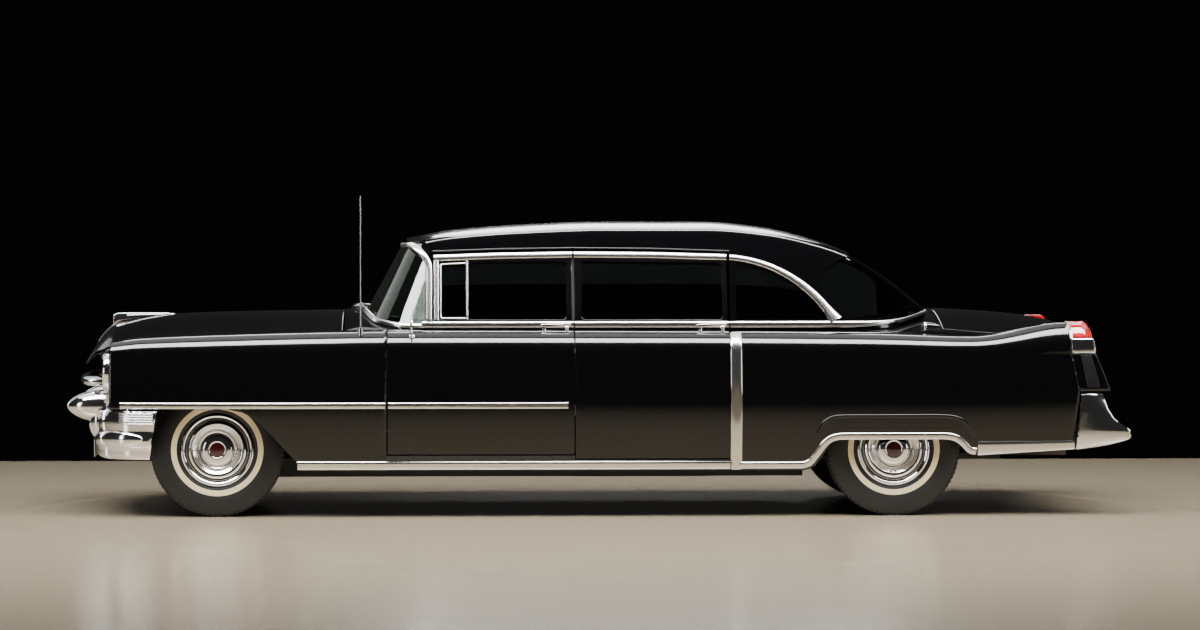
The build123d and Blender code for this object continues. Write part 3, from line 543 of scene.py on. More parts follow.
def sideStrip(name, path, side, width, height, material="strip", step=25, surface=None, **more):
    # path: (u, z) points on the body side
    yOf = surface or sideY
    fine = []
    for (u0, z0), (u1, z1) in zip(path, path[1:]):
        n = 1 if isinstance(width, list) else max(1, int(hypot(u1 - u0, z1 - z0) / step))
        fine += [(u0 + (u1 - u0) * i / n, z0 + (z1 - z0) * i / n) for i in range(n)]
    fine.append(path[-1])
    centres, normals = [], []
    for u, z in fine:
        slopeU = (yOf(u + 10, z) - yOf(u - 10, z)) / 20
        slopeZ = (yOf(u, z + 4) - yOf(u, z - 4)) / 8
        normal = Vector((-slopeU, 1, -slopeZ)).normalized()
        normal.y *= side
        centres.append(place(u, yOf(u, z) * side, z))
        normals.append(normal)
    piece = strip(name, centres, normals, width, height, material, **more)
    for vertex in piece.data.vertices:
        vertex.co.y = max(-widest, min(widest, vertex.co.y))
    return piece


def finishPiece(obj, bodyName, slotName, *nodes):
    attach(obj, bodyName)
    if nodes:
        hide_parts(*nodes)
    return obj


def joined(name, objs):
    # several meshes as one piece, with their modifiers taken in first
    for obj in objs:
        if obj.modifiers:
            flatten(obj)
    mesh = bpy.data.meshes.new(name)
    bm = bmesh.new()
    keys = []
    for obj in objs:
        shift = []
        for material in obj.data.materials:
            if material not in keys:
                keys.append(material)
            shift.append(keys.index(material))
        start = len(bm.faces)
        bm.from_mesh(obj.data)
        bm.faces.ensure_lookup_table()
        for face in bm.faces[start:]:
            face.material_index = shift[min(face.material_index, len(shift) - 1)] if shift else 0
    bm.to_mesh(mesh)
    bm.free()
    for material in keys:
        mesh.materials.append(material)
    mesh.set_sharp_from_angle(angle=radians(35))
    for obj in objs:
        bpy.data.objects.remove(obj)
    return newObject(name, mesh)


# Copies in a row or a ring, as Geometry Nodes
def copiesTree(name, ring):
    tree = bpy.data.node_groups.new(name, "GeometryNodeTree")
    face = tree.interface
    face.new_socket("Geometry", in_out="INPUT", socket_type="NodeSocketGeometry")
    sockets = {
        "Copy": "NodeSocketObject", "Count": "NodeSocketInt", "Centre": "NodeSocketVector",
        "Step": "NodeSocketVector", "Radius": "NodeSocketFloat", "Finish": "NodeSocketMaterial"}
    for label, kind in sockets.items():
        face.new_socket(label, in_out="INPUT", socket_type=kind)
    face.new_socket("Geometry", in_out="OUTPUT", socket_type="NodeSocketGeometry")
    given = addNode(tree, "NodeGroupInput")
    copy = addNode(tree, "GeometryNodeObjectInfo", links={"Object": given.outputs["Copy"]})
    if ring:
        circle = addNode(tree, "GeometryNodeMeshCircle",
                         links={"Vertices": given.outputs["Count"], "Radius": given.outputs["Radius"]})
        points = addNode(tree, "GeometryNodeTransform", values={"Rotation": (pi / 2, 0, 0)},
                         links={"Geometry": circle.outputs["Mesh"], "Translation": given.outputs["Centre"]})
        index = addNode(tree, "GeometryNodeInputIndex")
        turn = addNode(tree, "ShaderNodeMath", {"operation": "DIVIDE"})
        tree.links.new(index.outputs["Index"], turn.inputs[0])
        tree.links.new(given.outputs["Count"], turn.inputs[1])
        angle = addNode(tree, "ShaderNodeMath", {"operation": "MULTIPLY"})
        tree.links.new(turn.outputs["Value"], angle.inputs[0])
        angle.inputs[1].default_value = -2 * pi
        turned = addNode(tree, "ShaderNodeCombineXYZ", links={"Y": angle.outputs["Value"]})
        spots = points.outputs["Geometry"]
    else:
        line = addNode(tree, "GeometryNodeMeshLine", {"mode": "OFFSET"},
                       links={"Count": given.outputs["Count"], "Start Location": given.outputs["Centre"],
                              "Offset": given.outputs["Step"]})
        spots = line.outputs["Mesh"]
        turned = None
    placed = addNode(tree, "GeometryNodeInstanceOnPoints",
                     links={"Points": spots, "Instance": copy.outputs["Geometry"]})
    if turned:
        tree.links.new(turned.outputs["Vector"], placed.inputs["Rotation"])
    real = addNode(tree, "GeometryNodeRealizeInstances", links={"Geometry": placed.outputs["Instances"]})
    finish = addNode(tree, "GeometryNodeSetMaterial",
                     links={"Geometry": real.outputs["Geometry"], "Material": given.outputs["Finish"]})
    out = addNode(tree, "NodeGroupOutput")
    tree.links.new(finish.outputs["Geometry"], out.inputs["Geometry"])
    return tree


copyTrees = {"row": copiesTree("copies in a row", False), "ring": copiesTree("copies in a ring", True)}


def copies(name, kind, source, material, count, centre, step=(0, 0, 0), radius=0.0):
    tree = copyTrees[kind]
    obj = newObject(name, bpy.data.meshes.new(name))
    modifier = obj.modifiers.new("copies", "NODES")
    modifier.node_group = tree
    values = {"Copy": source, "Count": count, "Centre": tuple(centre), "Step": tuple(step), "Radius": radius,
              "Finish": materials[material]}
    for item in tree.interface.items_tree:
        if item.in_out == "INPUT" and item.name in values:
            modifier[item.identifier] = values[item.name]
    flatten(obj)
    bpy.data.objects.remove(source)
    smoothFaces(obj.data, 35)
    return obj


sides = {"left": -1, "right": 1}
print("materials and tools ready")

# Fenders and quarter panels: lower edges are (u, z), the tail's outline is (z, u)
fenders = {
    "nose": -602, "noseLow": 609, "noseInset": 4, "noseFace": (1, 14), "seam": 1.5, "wheelhouse": 440,
    "stations": [(-602, 40, 16), (60, 480, 10), (500, body["doorFront"] - body["gap"], 16)],  # from, to, step
    "arch": [(-602, 609), (60, 609), (150, 590), (230, 545), (320, 450), (390, 372), (450, 308), (480, 262)],
    "quarterStations": [(body["doorRear"] + body["gap"], 3280, 20), (3300, 3480, 9), (3500, 4090, 20),
                        (4105, 4240, 9), (4260, 4786, 16)],
    "quarterArch": [(2885, 262), (3300, 262), (3352, 284), (3395, 345), (3435, 405), (3470, 433),
                    (4105, 433), (4150, 425), (4195, 385), (4230, 345), (4805, 374), (4860, 380)],
    "tail": [(340, 4805), (374, 4805), (696, 4852), (916, 4809), (1095, 4786), (1250, 4786)],
    "tailStart": 4200, "cap": [(704, 5029), (914, 4945)], "capTuck": 3, "bevel": 2, "capBevel": 3,
}


def stations(rows):
    return [u for row in rows for u in spread(*row)]


def sideGrid(us, bottom, top, inset, count=44, end=None, thin=0):
    # inside the wheel arch, as far as thin, the skin is thinner so that the steered tyre swings free
    grid = []
    for u in us:
        skin = inset if abs(u) > thin else min(inset, body["archSkin"])
        points = clip(sideSection(u, skin), 1, bottom(u), 1)
        points = clip(points, 1, smooth(body["seam"], u)[0] + top, 0)
        row = []
        for y, z in resample(points, count):
            across = u
            if end and u > us[0]:
                share = (u - us[0]) / (us[-1] - us[0])
                across = us[0] + share * (end(z) - us[0])
            row.append((across, y, z))
        grid.append(row)
    return grid


def onSide(grid, side):
    return [[place(u, y * side, z) for u, y, z in row] for row in grid]


for label, side in sides.items():
    us = stations(fenders["stations"])
    arch = lambda u: lookup(fenders["arch"], u)
    seam, skin = fenders["seam"], body["panel"]
    outer = sideGrid(us, arch, seam, 0, 56)
    inner = sideGrid(us, arch, seam, skin, 56, thin=fenders["wheelhouse"])
    panel = closedShell(f"fenderPanel_{label}", onSide(outer, side), onSide(inner, side), "enamel")
    # the fender's nose face, which carries the lamp
    noseLow = fenders["noseLow"]
    across = clip(sideSection(fenders["nose"], fenders["noseInset"]), 1, noseLow, 1)
    across = resample(clip(across, 1, smooth(body["seam"], fenders["nose"])[0] + 2 * seam, 0), 40)
    face = [*across, (across[-1][0], noseLow)]
    ends = [place(fenders["nose"] + u, y * side, z) for u in fenders["noseFace"] for y, z in face]
    nose = meshPiece(f"noseFace_{label}", ends, prismFaces(len(face)), "enamel", recalc=True)
    panel = joined(f"fenderPanel_{label}", [bevelEdges(panel, fenders["bevel"]), nose])
    finishPiece(panel, "body", "body_paint", f"front_fender_{label}")
    # the quarter panel, whose rear end follows the tail's outline
    us, cut = stations(fenders["quarterStations"]), fenders["tailStart"]
    low = lambda u: lookup(fenders["quarterArch"], u)
    tailEnd = lambda z: lookup(fenders["tail"], z)
    grids, caps = [], []
    for inset in (0, skin):
        grid = sideGrid([u for u in us if u <= cut], low, seam, inset)
        tail = sideGrid([cut, *[u for u in us if u > cut]], low, seam, inset, end=tailEnd)
        grids.append(onSide(grid + tail[1:], side))
        # the fin's end under the lamp
        rows = []
        for share in [i / 8 for i in range(9)]:
            row = []
            for z in spread(fenders["cap"][0][0], fenders["cap"][1][0], 20):
                u0, u1 = tailEnd(z) + 1, lookup(fenders["cap"], z)
                u = u0 + (u1 - u0) * share
                row.append((u, sideY(u, z, inset) - fenders["capTuck"], z))
            rows.append(row)
        caps.append(onSide(rows, side))
    panel = closedShell(f"quarterPanel_{label}", *grids, "enamel")
    cap = closedShell(f"tailCap_{label}", *caps, "enamel")
    panel = joined(f"quarterPanel_{label}", [bevelEdges(panel, fenders["bevel"]),
                                             bevelEdges(cap, fenders["capBevel"])])
    finishPiece(panel, "body", "body_paint", f"quarter_{label}")
print("fenders and quarters done")

# Hood, boot lid and the top
hoodParts = {"stations": [(-748, -600, 9), (-585, 699, 22)], "seam": 5, "thick": 20}
lidParts = {"front": 4107, "rear": 4945, "half": 698, "low": 702, "thick": 20, "turned": 4780}


def crownGrid(table, us, halfOf, drop, count=40):
    grid = []
    for u in us:
        edgeY, edgeZ, crown = smooth(table, u)
        arc = arcThrough((-edgeY, edgeZ - drop), (0, crown - drop), (edgeY, edgeZ - drop), 80)
        half = min(halfOf(u), edgeY)
        points = clip(clip(arc, 1, -half, 0), -1, half, 0)
        grid.append([place(u, y, z) for y, z in resample(points, count)])
    return grid


us = stations(hoodParts["stations"])
seamHalf = lambda u: smooth(body["seam"], u)[0] - hoodParts["seam"]
hoodGrids = [crownGrid(body["hood"], us, seamHalf, drop) for drop in (0, hoodParts["thick"])]
hood = bevelEdges(closedShell("hoodPanel", *hoodGrids, "enamel"), 3)
finishPiece(hood, "hood", "body_paint", "hood")


def lidGrid(inset):
    # the crowned top, then straight down to the bumper; the inner skin draws in behind the bend
    half, rear, low, turned = lidParts["half"], lidParts["rear"], lidParts["low"], lidParts["turned"]
    grid = []
    for u in spread(lidParts["front"], rear, 17):
        edgeY, edgeZ, crown = smooth(body["deck"], u)
        arc = arcThrough((-edgeY, edgeZ), (0, crown), (edgeY, edgeZ), 80)
        points = clip(clip(arc, 1, -half, 0), -1, half, 0)
        grid.append([(u, y, z) for y, z in resample(points, 36)])
    last = grid[-1]
    for k in range(1, 13):
        grid.append([(rear, y, z + (low - z) * k / 12) for u, y, z in last])
    if not inset:
        return [[place(*p) for p in row] for row in grid]
    drawn = lambda u: inset if u > rear - 45 else inset * max(0, (u - turned) / (rear - turned))
    return [[place(u - drawn(u), y * (1 - inset / (half + 2)), max(z - inset, low + 1)) for u, y, z in row]
            for row in grid]


lid = bevelEdges(closedShell("bootLidPanel", lidGrid(0), lidGrid(lidParts["thick"]), "enamel", sharp=48), 3)
finishPiece(lid, "trunk_lid", "body_paint", "trunk_lid")


def bothHalves(u, right):
    return [place(u, y, z) for y, z in right] + [place(u, -y, z) for y, z in reversed(right[:-1])]


def cabinShell(name, insets, material, low, us):
    # a closed shell of the cabin's form between two insets
    grids = []
    for inset in insets:
        halves = [cabinSection(u, inset, low) for u in us]
        grids.append([bothHalves(u, resample(half[:2], 4)[:-1] + resample(half[1:], 36))
                      for u, half in zip(us, halves)])
    return closedShell(name, *grids, material)


def screenOutline(z, inset=0):
    low, high = body["screen"]
    t = (z - low[0]) / (high[0] - low[0])
    mix = lambda a, b: a + (b - a) * t
    pick = lambda k: (mix(low[k][0], high[k][0]) + inset, mix(low[k][1], high[k][1]) - inset)
    side, bulge, corner, middle = pick(1), pick(2), pick(3), (mix(low[4], high[4]) + inset, 0)
    right = arcThrough(side, bulge, corner, 10)[:-1]
    right += arcThrough(corner, middle, (corner[0], -corner[1]), 40)[:21]
    return right + [(u, -y) for u, y in reversed(right[:-1])]


def screenSolid(z0, z1, back=4500):
    # everything behind the windshield's face
    verts = []
    for z in (z0, z1):
        outline = screenOutline(z)
        outline += [(back, outline[-1][1]), (back, outline[0][1])]
        verts += [place(u, y, z) for u, y in outline]
    return meshPiece("screenSolid", verts, prismFaces(len(verts) // 2), "enamel", recalc=True)


cabin = {"front": 1062, "rear": 4036, "step": 28, "skin": 36, "foot": 1056, "screen": (1050, 1720),
         "paneFront": 2700, "paneFoot": 1090, "pane": (14, 20), "cutFrom": 500, "cutTo": 1300}
beyond = cabin["cutTo"]
quarterArc = arcThrough((2922, 1420), (3200, 1338), (3452, 1106), 24)
backArc = arcThrough((3392, 1290), (3446, 1392), (3560, 1452), 14)
windows = {
    "doorway": [(1206, 900), (1206, 1463), (2004, 1478), (2886, 1464), (2886, 900)],
    "screenSide": [(700, 900), (700, 1516), (1062, 1516), (1168, 1425), (1168, 900)],
    "quarter": [(2922, 1106), *quarterArc[:-1], (3440, 1106)],
    "backlight": [(3548, 1110), *backArc, (3700, 1560), (4300, 1300), (4300, 1138)],
    "backPane": [(3548, 1110), *backArc, (3700, 1560), (4036, 1300), (4036, 1150), (3900, 1146)],
    "tail": [(3860, 1050), (3860, 1150), (4117, 1152), (4400, 1152), (4400, 1050)],
}
us = spread(cabin["front"], cabin["rear"], cabin["step"])
roofShell = cabinShell("roofPanel", (0, cabin["skin"]), "enamel", cabin["foot"], us)
cutWith(roofShell, screenSolid(*cabin["screen"]), "INTERSECT")
for side in (1, -1):
    for key in ("doorway", "screenSide"):
        cutWith(roofShell, prism(f"{key}Cut", windows[key], cabin["cutFrom"] * side, beyond * side))
for key in ("quarter", "backlight", "tail"):
    cutWith(roofShell, prism(f"{key}Cut", windows[key], -beyond, beyond))
finishPiece(bevelEdges(roofShell, 2, 2, 50), "body", "body_paint", "roof")
us = spread(cabin["paneFront"], cabin["rear"], cabin["step"])
# the quarter and back panes take the near-black tint, painted shade of the cabin behind them
for nodeName, key, paneName in (("quarter_glass", "quarter", "quarterPane"),
                                ("backlight", "backPane", "backPane")):
    pane = cabinShell(paneName, cabin["pane"], "sideGlass", cabin["paneFoot"], us)
    cutWith(pane, prism("paneCut", windows[key], -beyond, beyond), "INTERSECT")
    finishPiece(pane, "body", "tinted_glass", nodeName)
print("hood, lid and roof done")

# Doors: skin, lining and window frame
doorRows = {
    "front": {"from": body["doorFront"], "to": body["doorMiddle"], "bottom": 355, "lead": 1214,
              "top": (1455, 1470), "pane": [(1242, 1106), (1960, 1106), (1960, 1434), (1242, 1424)]},
    "rear": {"from": body["doorMiddle"], "to": body["doorRear"], "bottom": 330, "lead": 2008,
             "top": (1470, 1456), "pane": [(2048, 1106), (2842, 1106), (2842, 1424), (2048, 1434)]},
}
leafParts = {"seam": 2, "rearCut": 30, "frameLow": 1046, "frameEnd": 8, "cardTop": 920, "cardEdge": 40,
             "cardThick": (0.5, 5)}


def loopPoints(outline, radius, count=16):
    # a four-sided loop with rounded corners and its long sides divided
    points = []
    for k in range(4):
        points += rounded([outline[k - 1], outline[k], outline[(k + 1) % 4]], radius, 5)[1:-1]
    out = []
    for k, p in enumerate(points):
        q = points[(k + 1) % len(points)]
        out.append(p)
        if hypot(q[0] - p[0], q[1] - p[1]) > 40:
            out += [(p[0] + (q[0] - p[0]) * i / count, p[1] + (q[1] - p[1]) * i / count)
                    for i in range(1, count)]
    return out


def windowFrame(name, outer, pane, side, depth, material):
    # a ring round the pane that follows the cabin's side; its rear edge leans forward as it goes in
    inner, edge = loopPoints(pane, 22), loopPoints(outer, 4)
    back = max(u for u, z in edge)
    leaned = [(u - 15 * max(0.0, 1 - (back - u) / 30), z) for u, z in edge]
    rings = ((0, edge), (0, inner), (depth, inner), (depth, leaned))
    verts = [place(u, cabinY(u, z, inset) * side, z) for inset, loop in rings for u, z in loop]
    return bevelEdges(meshPiece(name, verts, ringFaces(4, len(inner), True, True), material, recalc=True), 2)


def swingFree(grid, back):
    # inboard, the rear edge of a door leans forward, so that its corner swings out freely
    return [[(u - 20 * max(0.0, (934 - y) / 154) * max(0.0, 1 - (back - u) / 40), y, z) for u, y, z in row]
            for row in grid]


for doorName, door in doorRows.items():
    for label, side in sides.items():
        rides, low = f"door_{doorName}_{label}", door["bottom"]
        u0, u1 = door["from"] + body["gap"], door["to"] - body["gap"]
        innerEnd, us = u1 - leafParts["rearCut"], spread(u0, u1, 24)
        bottom = lambda u: low
        outer = swingFree(sideGrid(us, bottom, leafParts["seam"], 0, 48), u1)
        innerUs = spread(u0, innerEnd, (innerEnd - u0) / (len(us) - 1))
        inner = swingFree(sideGrid(innerUs, bottom, leafParts["seam"], body["doorWall"], 48), innerEnd)
        lower = bevelEdges(closedShell("doorLower", onSide(outer, side), onSide(inner, side), "enamel"), 2)
        lead, end, (topA, topB) = door["lead"], u1 - leafParts["frameEnd"], door["top"]
        ring = [(lead, leafParts["frameLow"]), (end, leafParts["frameLow"]), (end, topB), (lead, topA)]
        rim = windowFrame("doorFrame", ring, door["pane"], side, body["frame"], "enamel")
        leaf = joined(f"doorLeaf_{doorName}_{label}", [lower, rim])
        leaf.modifiers.new("flat faces", "WEIGHTED_NORMAL").keep_sharp = True
        finishPiece(leaf, rides, "body_paint", rides)
        card, edge = [], leafParts["cardEdge"]
        for thick in leafParts["cardThick"]:
            card.append([[place(u, sideY(u, z, body["doorWall"] + thick) * side, z)
                          for z in spread(low + edge, leafParts["cardTop"], 30)]
                         for u in spread(u0 + edge, innerEnd - edge, 40)])
        cardPiece = bevelEdges(closedShell(f"doorCard_{doorName}_{label}", *card, "leather"), 3)
        finishPiece(cardPiece, rides, "trim_panel")
print("doors done")

# Wheels: tyre with whitewall, ribbed cover, tread blocks and cooling flutes
wheels = {"radius": 376, "bead": 190, "rim": (40, 82), "bulge": (283, 104), "shoulder": (364, 80),
          "whiteFrom": 228, "whiteTo": 259, "lip": 2, "grooves": (-48, -24, 0, 24, 48), "grooveDeep": 7,
          "grooveWide": 5, "treadHalf": 64, "blocks": 84, "lugAt": (366.5, 72), "flutes": 60,
          "fluteAt": (172, 92.4), "frontTrack": 1524, "rearTrack": 1603, "base": 3805}


def tyreProfile():
    # the outer wall with its white band, the grooved tread, and the inner wall
    w = wheels
    wall = arcThrough((w["bead"], w["rim"][1]), w["bulge"], w["shoulder"], 22)
    lip = w["lip"]
    # exact edges of the white band, let a little into the wall
    edges = [(r, lookup(wall, r) - sunk, key) for r, sunk, key in (
        (w["whiteFrom"] - lip, 0.2, "rubber"), (w["whiteFrom"], 0.2, "whiteband"),
        (w["whiteTo"], 0.2, "rubber"), (w["whiteTo"] + lip, 1.2, "rubber"))]
    rows = [(r, out, "whiteband" if w["whiteFrom"] <= r < w["whiteTo"] else "rubber") for r, out in wall[1:]]
    rows = [row for row in rows if not any(abs(row[0] - edge[0]) < 3.5 for edge in edges)] + edges
    rows = [*banded("rubber", *((w["bead"], out) for out in w["rim"])), *sorted(rows), (370, 72, "rubber")]
    outer, deep = w["radius"], w["radius"] - w["grooveDeep"]
    tread = [(outer - 1, w["treadHalf"])]
    for y in reversed(w["grooves"]):
        half = w["grooveWide"] / 2
        tread += [(outer, y + half + 1), (deep, y + half), (deep, y - half), (outer, y - half - 1)]
    tread.append((outer - 1, -w["treadHalf"]))
    return rows + banded("rubber", *tread) + [(r, -out, "rubber") for r, out, key in reversed(rows)]


coverProfile = [  # radius, offset from the wheel's middle plane
    *banded("maroon", (0, 112), (20, 111.4), (38, 109.5)),
    *banded("chrome", (43, 108), (45, 110), (50, 111.5), (56, 110.5), (62, 108.5), (74, 105), (82, 100),
            (88, 94), (90, 91), (96, 90.5), (100, 93), (104, 95.5), (107, 93.5), (111, 97), (114, 94.8),
            (118, 98.2), (121, 96), (126, 99.4), (129, 97), (134, 100.4), (137, 98), (142, 101.2),
            (150, 101.8), (156, 99.5)),
    *banded("darkBand", (160, 95), (166, 92.5), (180, 93.5)),
    *banded("chrome", (184, 95), (187, 99), (192, 101), (198, 99.6), (203, 96), (204, 92), (200, 88),
            (188, 84)),
    *banded("darkBand", (188, 40), (174, 40), (174, 60), (34, 60)),
    *banded("chrome", (34, 108), (0, 108))]
discProfile = banded("chassis", (31, -30), (60, -30), (60, 44), (172, 44), (176, -78), (190, -86),
                     (190, -80), (184, -70), (186, 39), (173, 56), (31, 56))


def smallBlock(name, x, y, z, material):
    # a block about the origin, to be copied
    corners = [Vector((a * mm, b * mm, c * mm)) for a in x for b in y for c in z]
    return meshPiece(name, corners, boxFaces, material, recalc=True)


for axleName, track, u in (("front", wheels["frontTrack"], 0), ("rear", wheels["rearTrack"], wheels["base"])):
    for label, side in sides.items():
        corner = f"{axleName}_{label}"
        centre = (u, side * track / 2, wheels["radius"])
        hub = place(*centre)
        tyre = [revolved(f"tyreBody_{corner}", tyreProfile(), centre, side, 128)]
        # shoulder lugs, copied round the tread on both sides
        lugRadius, lugOut = wheels["lugAt"]
        for out in (lugOut, -lugOut):
            lug = smallBlock("lug", (-8, 8), (-9, 9), (-7, 4), "rubber")
            tyre.append(copies("lugs", "ring", lug, "rubber", wheels["blocks"],
                               hub + Vector((0, out * mm * side, 0)), radius=lugRadius * mm))
        finishPiece(joined(f"tyreBody_{corner}", tyre), f"wheel_{corner}", "tyre", f"tyre_{corner}")
        cover = revolved(f"wheelCover_{corner}", coverProfile, centre, side, 128)
        disc = revolved("wheelDisc", discProfile, centre, side, 72)
        fluteRadius, fluteOut = wheels["fluteAt"]
        flute = smallBlock("flute", (-2.2, 2.2), (-2, 2.2), (-9, 9), "chrome")
        flutes = copies("flutes", "ring", flute, "chrome", wheels["flutes"],
                        hub + Vector((0, fluteOut * mm * side, 0)), radius=fluteRadius * mm)
        cover = joined(f"wheelCover_{corner}", [cover, disc, flutes])
        finishPiece(cover, f"wheel_{corner}", "chrome", f"wheel_{corner}")
print("wheels done")

# Front bumper: a swept wing with bullets, guards, side lobes and louvres
bumper = {"path": [(-735, 0), (-733, 160), (-722, 330), (-704, 500), (-684, 640), (-655, 760), (-606, 858),
                   (-530, 925), (-430, 966), (-330, 988)],
          "bulletY": 520, "bulletZ": 612, "thick": 6, "end": -330, "endLean": 0.16, "endTop": 600,
          "lobeFrom": -672, "lobeTo": -388, "lobeZ": 441, "lobeHigh": 46, "lobeOut": (8, 20),
          "louvres": (528, 542, 556, 570, 584), "louvreFrom": -545, "louvreTo": -338, "louvreOut": 5,
          "louvreSize": (9, 7), "guardAt": (-676, 524), "guardSize": (66, 84, 104),
          "iron": (-700, -541, 370, 430, 332, 418)}  # u, y and z from and to
bullet = banded("chrome", (0, -865), (9, -863), (20, -857), (34, -845), (50, -825), (64, -800), (76, -770),
                (85, -735), (90, -700), (92, -665), (90, -630), (84, -600), (0, -600))
wingProfile = [(-44, 600), (-20, 602), (-5, 595), (2, 575), (5, 545), (4, 512), (0, 490), (1, 468), (8, 450),
               (10, 432), (7, 412), (-1, 397), (-8, 385), (-10, 365), (-12, 345), (-18, 330), (-30, 325),
               (-38, 330)]


def egg(name, centre, size, material, skew=0.0):
    # a closed egg with half sizes along u, y and z; skew moves its fullest place forward
    verts = []
    rings, steps = 18, 28
    for i in range(rings + 1):
        t = -cos(pi * i / rings)
        swell = sqrt(max(0.0, 1 - t * t)) * (1 - skew * t)
        for k in range(steps):
            a = 2 * pi * k / steps
            verts.append(place(centre[0] + size[0] * t, centre[1] + size[1] * swell * cos(a),
                               centre[2] + size[2] * swell * sin(a)))
    return meshPiece(name, verts, ringFaces(rings + 1, steps), material, sharp=80, recalc=True)


def planPath(points, n):
    # smooth curve through plan points, with its outward normals
    pts = [Vector((u, y)) for u, y in points]
    out = []
    for i in range(n + 1):
        t = i / n * (len(pts) - 1)
        k = min(int(t), len(pts) - 2)
        f = t - k
        p0, p1, p2, p3 = pts[max(k - 1, 0)], pts[k], pts[k + 1], pts[min(k + 2, len(pts) - 1)]
        if k == 0:
            p0 = Vector((pts[1].x, -pts[1].y))
        out.append(0.5 * (2 * p1 + (p2 - p0) * f + (2 * p0 - 5 * p1 + 4 * p2 - p3) * f * f
                          + (3 * p1 - p0 - 3 * p2 + p3) * f ** 3))
    normals = []
    for i, p in enumerate(out):
        along = (out[min(i + 1, n)] - out[max(i - 1, 0)]).normalized()
        normals.append(Vector((-along.y, along.x)) if i else Vector((-1, 0)))
    return out, normals


def sweptBand(name, path, profile, material, thick, endAt=None):
    # profile rows: outward offset, height; the band is mirrored about the middle and stops at endAt(z)
    fine, half = 240, 50
    points, normals = planPath(path, fine)
    grids = []
    for inset in (0, thick):
        grid = [[None] * len(profile) for i in range(2 * half + 1)]
        for k, (off, z) in enumerate(profile):
            last = fine
            if endAt:
                last = max(i for i, p in enumerate(points) if p.x <= endAt(z) or i < 20)
            for i in range(half + 1):
                j = round(last * i / half)
                p, q = points[j], points[j] + normals[j] * (off - inset)
                grid[half + i][k] = place(q.x, q.y, z)
                grid[half - i][k] = place(q.x, -q.y, z)
        grids.append(grid)
    return closedShell(name, *grids, material, sharp=50)


def bumperIron(side, u0, u1, y0, y1, z0, z1):
    # painted bracket between the frame and a bumper
    return boxPiece("bumperIron", u0, u1, y0 * side, y1 * side, z0, z1, "chassis", 3)


def leaning(end, z):
    # the bumper's ends lean forward towards the ground
    return end - (bumper["endTop"] - z) * bumper["endLean"]


wing = sweptBand("bumperWing", bumper["path"], wingProfile, "chrome", bumper["thick"],
                 lambda z: leaning(bumper["end"], z))
bumperParts = [bevelEdges(wing, 2)]
points, normals = planPath(bumper["path"], 60)
for side in (1, -1):
    y = bumper["bulletY"] * side
    bumperParts.append(revolved("bullet", bullet, (0, y, bumper["bulletZ"]), 1, 64, "x"))
    guardU, guardZ = bumper["guardAt"]
    bumperParts.append(egg("guard", (guardU, y, guardZ), bumper["guardSize"], "chrome"))
    # long lens-shaped lobe that wraps the corner
    chosen = [(p, q) for p, q in zip(points, normals) if bumper["lobeFrom"] <= p.x <= bumper["lobeTo"]]
    n, ring, (out, swellOut) = len(chosen), 20, bumper["lobeOut"]
    verts = []
    for i, (p, q) in enumerate(chosen):
        swell = sqrt(max(0.0, 1 - (2 * i / (n - 1) - 1) ** 2))
        for k in range(ring):
            a = 2 * pi * k / ring
            off, z = out + swellOut * swell * cos(a), bumper["lobeZ"] + bumper["lobeHigh"] * swell * sin(a)
            verts.append(place(p.x + q.x * off, (p.y + q.y * off) * side, z))
    bumperParts.append(meshPiece("lobe", verts, ringFaces(n, ring), "chrome", sharp=60, recalc=True))
    # louvres under the side strip
    for z in bumper["louvres"]:
        span = [(p, q) for p, q in zip(points, normals)
                if bumper["louvreFrom"] <= p.x <= leaning(bumper["louvreTo"], z)]
        out = bumper["louvreOut"]
        centres = [place(p.x + q.x * out, (p.y + q.y * out) * side, z) for p, q in span]
        outs = [Vector((q.x, q.y * side, 0)) for p, q in span]
        bumperParts.append(strip("louvre", centres, outs, *bumper["louvreSize"], "chrome"))
    bumperParts.append(bumperIron(side, *bumper["iron"]))
finishPiece(joined("bumperFront", bumperParts), "body", "chrome", "bumper_front")

# Rear bumper: pods with an outlet each, and a crowned bar between
pods = {  # edges are (height, u)
    "front": [(373, 4831), (687, 4862)],
    "rear": [(373, 4860), (385, 4950), (400, 5030), (418, 5098), (432, 5140), (484, 5140), (497, 5118),
             (513, 5090), (545, 5050), (600, 5014), (686, 4986)],
    "low": 373, "high": 687, "outer": 946, "crown": 16, "taper": 26, "inner": 800, "innerTaper": 6,
    "outlet": (5148, 868, 458),
    "bar": [(0, 5046), (200, 5044), (400, 5036), (600, 5020), (810, 5000)],  # y, u
    "barHalf": 812, "thick": 6, "iron": (4862, 4980, 372, 428, 440, 520)}
# inside each outlet a matt black disc paints the shade within the pipe
outletProfile = [*banded("chrome", (27.2, 0), (24, 4), (20.8, 3)),
                 *banded("void", (19.2, -30), (0, -32), (0, -36)), *banded("chrome", (24, -36))]
barProfile = [(-40, 540), (-14, 541), (2, 530), (10, 508), (13, 480), (11, 452), (4, 425), (-8, 405),
              (-30, 400), (-40, 402)]


def podShell(side):
    # a hollow horn: its outer face is crowned, and its rear edge sweeps out to the outlet
    grids = []
    for outer in (True, False):
        grid = []
        for z in spread(pods["low"] + 2, pods["high"] - 2, 9):
            front, rear = lookup(pods["front"], z), lookup(pods["rear"], z)
            rise = min(1, max(0, (z - pods["low"]) / (pods["high"] - pods["low"])))
            crown = pods["outer"] + pods["crown"] * (1 - (2 * rise - 1) ** 4)
            row = []
            for t in [i / 24 for i in range(25)]:
                y = crown - pods["taper"] * t * t if outer else pods["inner"] + pods["innerTaper"] * t
                row.append(place(front + (rear - front) * t, y * side, z))
            grid.append(row)
        grids.append(grid)
    return bevelEdges(closedShell("pod", *grids, "chrome", sharp=50), 10, 4)


